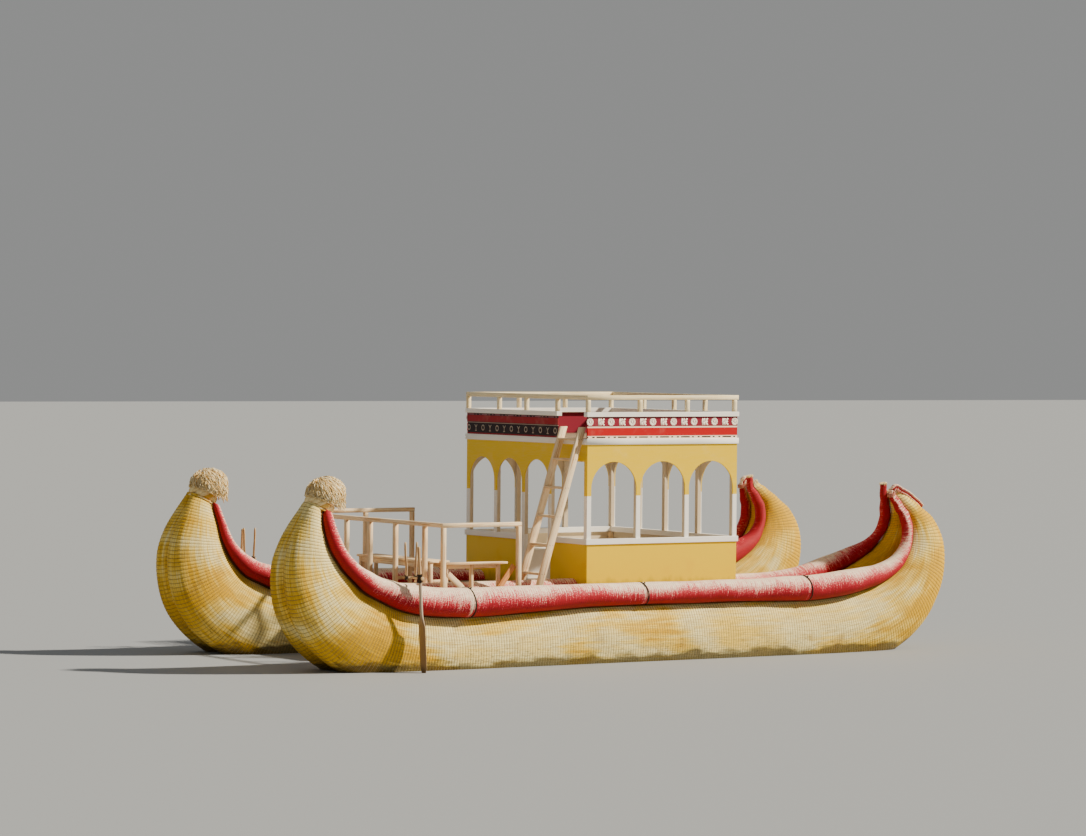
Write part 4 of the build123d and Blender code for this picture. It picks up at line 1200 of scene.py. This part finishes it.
def makeRoofRail():
    # a flat top rail round the roof's edge, on posts
    inset, foot, top, stock, wide = (roofRail[key] for key in ("inset", "foot", "top", "stock", "wide"))
    e, f, a, low = roof["edge"] - inset, roof["fore"] - inset, roof["aft"] + inset, top - roofRail["depth"]
    pieces = [[(a, side * (e - wide), low), (f, side * e, top)] for side in (1, -1)]
    pieces += [[(a, -e + wide, low), (a + wide, e - wide, top)], [(f - wide, -e + wide, low), (f, e - wide, top)]]
    pieces += [[(x, side * (e - stock), foot), (x + stock, side * e, low)]
               for side in (1, -1) for x in roofRail["side"]]
    pieces += [[(f - stock, y - stock, foot), (f, y, low)] for y in roofRail["front"]]
    pieces += [[(a, y, foot), (a + stock, y + stock, low)] for y in roofRail["aft"]]
    makeSawn("roofRail", woods["rail"], "rail_wood", "roof_rail", pieces, 13, tints=(0, 0.5))


def makeDeckRails():
    # a top rail on posts along each side of the fore deck, and one across the front
    s, m, top, fore, foot = rail["stock"], rail["middle"], rail["top"], rail["fore"], deck["top"]
    for name, (y, high, places) in rail["sides"].items():
        pieces = [[(places[0] - s / 2, y - s / 2, high - s), (fore + s / 2, y + s / 2, high)]]
        pieces += [post(x, y, foot, high - s, s) for x in places]
        makeSawn(name + "Rail", woods["bare"], "bare_wood", name + "_deck_rail", pieces, 14, tints=(0, 0.4))
    pieces = [[(fore - s / 2, -m + s / 2, top - s), (fore + s / 2, m - s / 2, top)]]
    pieces += [post(fore, y, foot, top - s, s) for y in rail["front"]]
    pieces += [post(fore, rail["corner"][0], rail["corner"][1], top - s, s)]
    makeSawn("frontRail", woods["bare"], "bare_wood", "front_deck_rail", pieces, 15, tints=(0, 0.6))


def makeLadder():
    # leaning sides, level treads between them, and two nails through a side into each tread
    (x0, z0), (x1, z1), (near, far), (wide, thick), (apart, sunk, radius) = (
        ladder[key] for key in ("foot", "head", "sides", "tread", "nail"))
    slope = (x1 - x0) / (z1 - z0)
    half = ladder["half"] * np.hypot(1, slope)
    sides = timber([[(x0 - half, y, z0), (x0 + half, y + ladder["thick"], z1)] for y in (near, far)], 16, (0, 0.3))
    near, far = near + ladder["thick"] - ladder["housed"], far + ladder["housed"]
    sides["points"] = sides["points"] + slope * (sides["points"][:, 2:] - z0) * [1, 0, 0]
    places = [(x0 + slope * (z - z0), z) for z in ladder["treads"]]
    treads = timber([[(x - wide, near, z - thick), (x + wide, far, z)] for x, z in places], 17, (0.2, 0.9))
    makePiece("ladder", [sides, treads], woods["bare"], "ladder")
    heads = [[(x + side * apart, y, z - sunk) for y in ladder["nailHead"]] for x, z in places for side in (-1, 1)]
    makePiece("ladderNails", [tube(heads, radius, 8)], darkIron)


def makeBenches():
    # plank seats on square legs with rails under their edges, and the cabin's corner posts
    low, top, leg, foot = bench["low"], bench["top"], bench["leg"], deck["top"]
    look = bench["front"]
    pieces = cross(boards(*look["top"], low, top, look["gap"]))
    pieces += [post(x + leg / 2, y + leg / 2, foot, low, leg) for x in look["legX"] for y in look["legY"]]
    pieces += [[(x + corner[0], corner[1], low + corner[2]) for corner in look["rail"]] for x in look["railX"]]
    pieces += [[(corner[0], y + corner[1], corner[2]) for corner in look["tie"]] for y in look["legY"]]
    makeSawn("frontBench", woods["bare"], "bare_wood", "front_bench", pieces, 18, tints=(0, 0.8))
    look = bench["side"]
    pieces = boards(*look["top"], low, top, look["gap"])
    pieces += [post(x + leg / 2, look["legY"], foot, low, leg) for x in look["legX"]]
    pieces += [[(x, y, low + z) for x, y, z in look["rail"]]]
    makeSawn("sideBench", woods["bare"], "bare_wood", "side_bench", pieces, 19, tints=(0, 0.8))
    look = cornerPosts
    posts = [[(x, side * look["y"][0], foot), (x + look["wide"], side * look["y"][1], look["top"])]
             for side in (1, -1) for x in look["x"]]
    makeSawn("cornerPosts", woods["bare"], "bare_wood", "corner_posts", posts, 20)


makeDecks()
makeRoof()
makeRoofRail()
makeDeckRails()
makeLadder()
makeBenches()
print("sawn timber")


# Oars and tholes: round sticks and shafts with a profile along them

oars = {
    "port": {"side": 1, "x": 3.86, "z": 1.274, "feet": (1.240, 1.206)},
    "starboard": {"side": -1, "x": 3.925, "z": 1.306, "feet": (1.274, 1.238)},
    "y": 2.482, "lean": radians(5.4), "squareness": 0.45,
    "profile": [                # place along the shaft from the peg, half width, half thickness
        (0.430, 0.012, 0.012), (0.424, 0.020, 0.020), (0.40, 0.0235, 0.0235), (0.25, 0.021, 0.021),
        (0.10, 0.023, 0.023), (0.0, 0.030, 0.026), (-0.12, 0.0235, 0.0235), (-0.40, 0.0225, 0.0225),
        (-0.50, 0.027, 0.021), (-0.60, 0.060, 0.015), (-0.67, 0.0815, 0.0125), (-0.90, 0.0825, 0.011),
        (-1.10, 0.0815, 0.010), (-1.18, 0.077, 0.009), (-1.26, 0.058, 0.008), (-1.31, 0.038, 0.0065),
        (-1.329, 0.022, 0.005)],
    "lashing": {"turns": 9, "length": 0.116, "radius": 0.0062, "reach": (0.031, 0.034)},
    "stickY": 2.240, "stickTop": 1.755, "apart": 0.092, "stick": 0.017, "bar": 0.0145, "peg": 0.0138, "stop": 0.058,
    "knob": [(0.0, 0.020), (0.002, 0.026), (0.007, 0.027), (0.012, 0.026), (0.014, 0.019)],   # place out, radius
    "tie": {"turns": 4, "length": 0.040, "tilt": 0.0162, "reach": 0.023, "radius": 0.0045},
    "footTie": {"turns": 3, "climb": 0.0016, "radius": 0.005, "lift": 0.03},
}


def makeOar(name):
    # ovals carried along the leaning shaft by the profile, squarer on the blade, and a helix of rope round the boss
    look, lean, table = oars[name], oars["lean"], np.array(oars["profile"])
    at = np.interp(np.linspace(0, 1, 70), np.linspace(0, 1, len(table)), table[:, 0])
    order = np.argsort(table[:, 0])
    wide, thick = (spread(table[order, 0], table[order, n], at)[:, None] for n in (1, 2))
    ring, up = circle(17), at[:, None]
    power = 1 - np.clip((wide - thick) / 0.05, 0, 1) * oars["squareness"]
    across = wide * np.sign(np.cos(ring)) * np.abs(np.cos(ring)) ** power
    over = thick * np.sign(np.sin(ring)) * np.abs(np.sin(ring)) ** power
    points = grid(look["x"] + over, look["side"] * (oars["y"] + across * cos(lean) - up * sin(lean)),
                  look["z"] + up * cos(lean) + across * sin(lean))
    uv = grid(up, ring / (2 * pi) * 0.3)
    body = f"{name}_oar"
    makePiece(f"{name}Oar", [patch(points[:, :-1], uv, 0.35)], oarWood, body, body)
    tie = oars["lashing"]
    turn = circle(200, tie["turns"])
    far, (foreAft, sideways) = (turn / turn[-1] - 0.5) * tie["length"], tie["reach"]
    lash = grid(look["x"] + foreAft * np.sin(turn),
                look["side"] * (oars["y"] + sideways * np.cos(turn) - far * sin(lean)), look["z"] + far * cos(lean))
    makePiece(f"{name}OarLashing", [tube(lash, tie["radius"])], darkRope, body=body)


def stick(start, end, radius, seed, bend=0.004):
    # a peeled branch from point to point: thinner at its tip, with small bends and knots
    t = np.linspace(0, 1, 14)
    start, end = np.asarray(start, float), np.asarray(end, float)
    bends = grid(*(waves(seed + n, t * 1.5, size=bend) for n in range(3)))
    path = start + (end - start) * t[:, None] + np.sin(pi * t)[:, None] * bends
    size = radius * (1.0 - 0.12 * t + waves(seed + 9, t * 4, size=0.06)) * np.where((t == 0) | (t == 1), 0.8, 1.0)
    return tube(path, size, 12, tint=0.3, up=(0.1, 1, 0.2))


def makeThole(name, seed):
    # two sticks, a bar behind the oar and the peg that carries it, then their lashings
    look, apart = oars[name], oars["apart"]
    side, x, z, (foot, _) = look["side"], look["x"], look["z"], look["feet"]
    y, stop, top = side * oars["stickY"], oars["y"] + oars["stop"], oars["stickTop"]
    parts = [stick((x + n * apart * 0.75, y, low), (x + n * apart, y, top), oars["stick"], seed + n * 3)
             for n, low in zip((1, -1), look["feet"])]
    parts.append(stick((x - apart - 0.02, y, z), (x + apart + 0.02, y, z), oars["bar"], seed + 11, 0.001))
    parts.append(stick((x, y, z), (x, side * (stop + 0.002), z), oars["peg"], seed + 12, 0.0))
    places, sizes = zip(*oars["knob"])
    parts.append(tube([(x, side * (stop + place), z) for place in places], sizes, 16, tint=0.4))
    makePiece(f"{name}Thole", parts, woods["peg"], f"{name}_thole")

    def coil(x, z):
        reach = oars["tie"]["reach"]
        return tube(grid(x + reach * np.cos(turn), y + reach * np.sin(turn), z), tie["radius"], up=(0, 0.2, 1))

    tie = oars["tie"]
    turn = circle(90, tie["turns"])
    far = (turn / turn[-1] - 0.5) * tie["length"]
    ties = [coil(x + n * apart * (0.75 + 0.25 * (z - foot) / (top - foot)), z + far + tilt * np.cos(turn))
            for n in (1, -1) for tilt in (tie["tilt"], -tie["tilt"])]
    tie = oars["footTie"]
    turn = circle(70, tie["turns"])
    ties += [coil(x + n * apart * 0.76, sum(look["feet"]) / 2 + tie["lift"] + turn * tie["climb"]) for n in (1, -1)]
    makePiece(f"{name}TholeLashing", ties, darkRope)


for seed, name in enumerate(hull["sizes"]):
    makeOar(name)
    makeThole(name, 70 + seed * 20)
print("oars and tholes")


# Odds and ends of the fore deck: two braces at the port rail's posts and a loop of rope

braces = {                    # foot, head and timber
    "railBrace1": ((2.09, 1.60, 0.985), (1.80, 1.60, 1.36), "orange"),
    "railBrace2": ((2.56, 1.60, 0.985), (2.88, 1.60, 1.26), "bare"),
    "wide": 0.03, "thick": 0.085, "tint": 0.3,
}
ropeLoop = {
    "place": (2.28, 1.95, 0.992), "reach": (0.10, 0.055), "turns": 2, "radius": 0.0065,
    "widening": 0.008 / 6, "climb": 0.0015, "hump": 0.016,       # the first two are for each radian round it
}


def makeBrace(name, seed):
    # one sawn piece from point to point, its width across the boat
    start, end, wood = braces[name]
    way = np.array(end) - start
    length = np.linalg.norm(way)
    way = way / length
    over = np.cross(way, across)
    over /= np.linalg.norm(over)
    wide, thick, tint = braces["wide"], braces["thick"], braces["tint"]
    part = timber([[(0, -wide / 2, -thick / 2), (length, wide / 2, thick / 2)]], seed, (tint, tint + 0.01))
    part["points"] = start + part["points"] @ np.stack([way, np.cross(over, way), over])
    makePiece(name, [part], woods[wood])


makeBrace("railBrace1", 30)
makeBrace("railBrace2", 31)
turn, (x, y, z), (wide, deep) = circle(60, ropeLoop["turns"]), ropeLoop["place"], ropeLoop["reach"]
loop = grid(x + (wide + ropeLoop["widening"] * turn) * np.cos(turn), y + deep * np.sin(turn),
            z + ropeLoop["hump"] * np.abs(np.sin(turn * 0.5)) + ropeLoop["climb"] * turn)
makePiece("deckRopeLoop", [tube(loop, ropeLoop["radius"], 8, up=(0, 0.1, 1))], paleRope)
print("braces and rope loop")
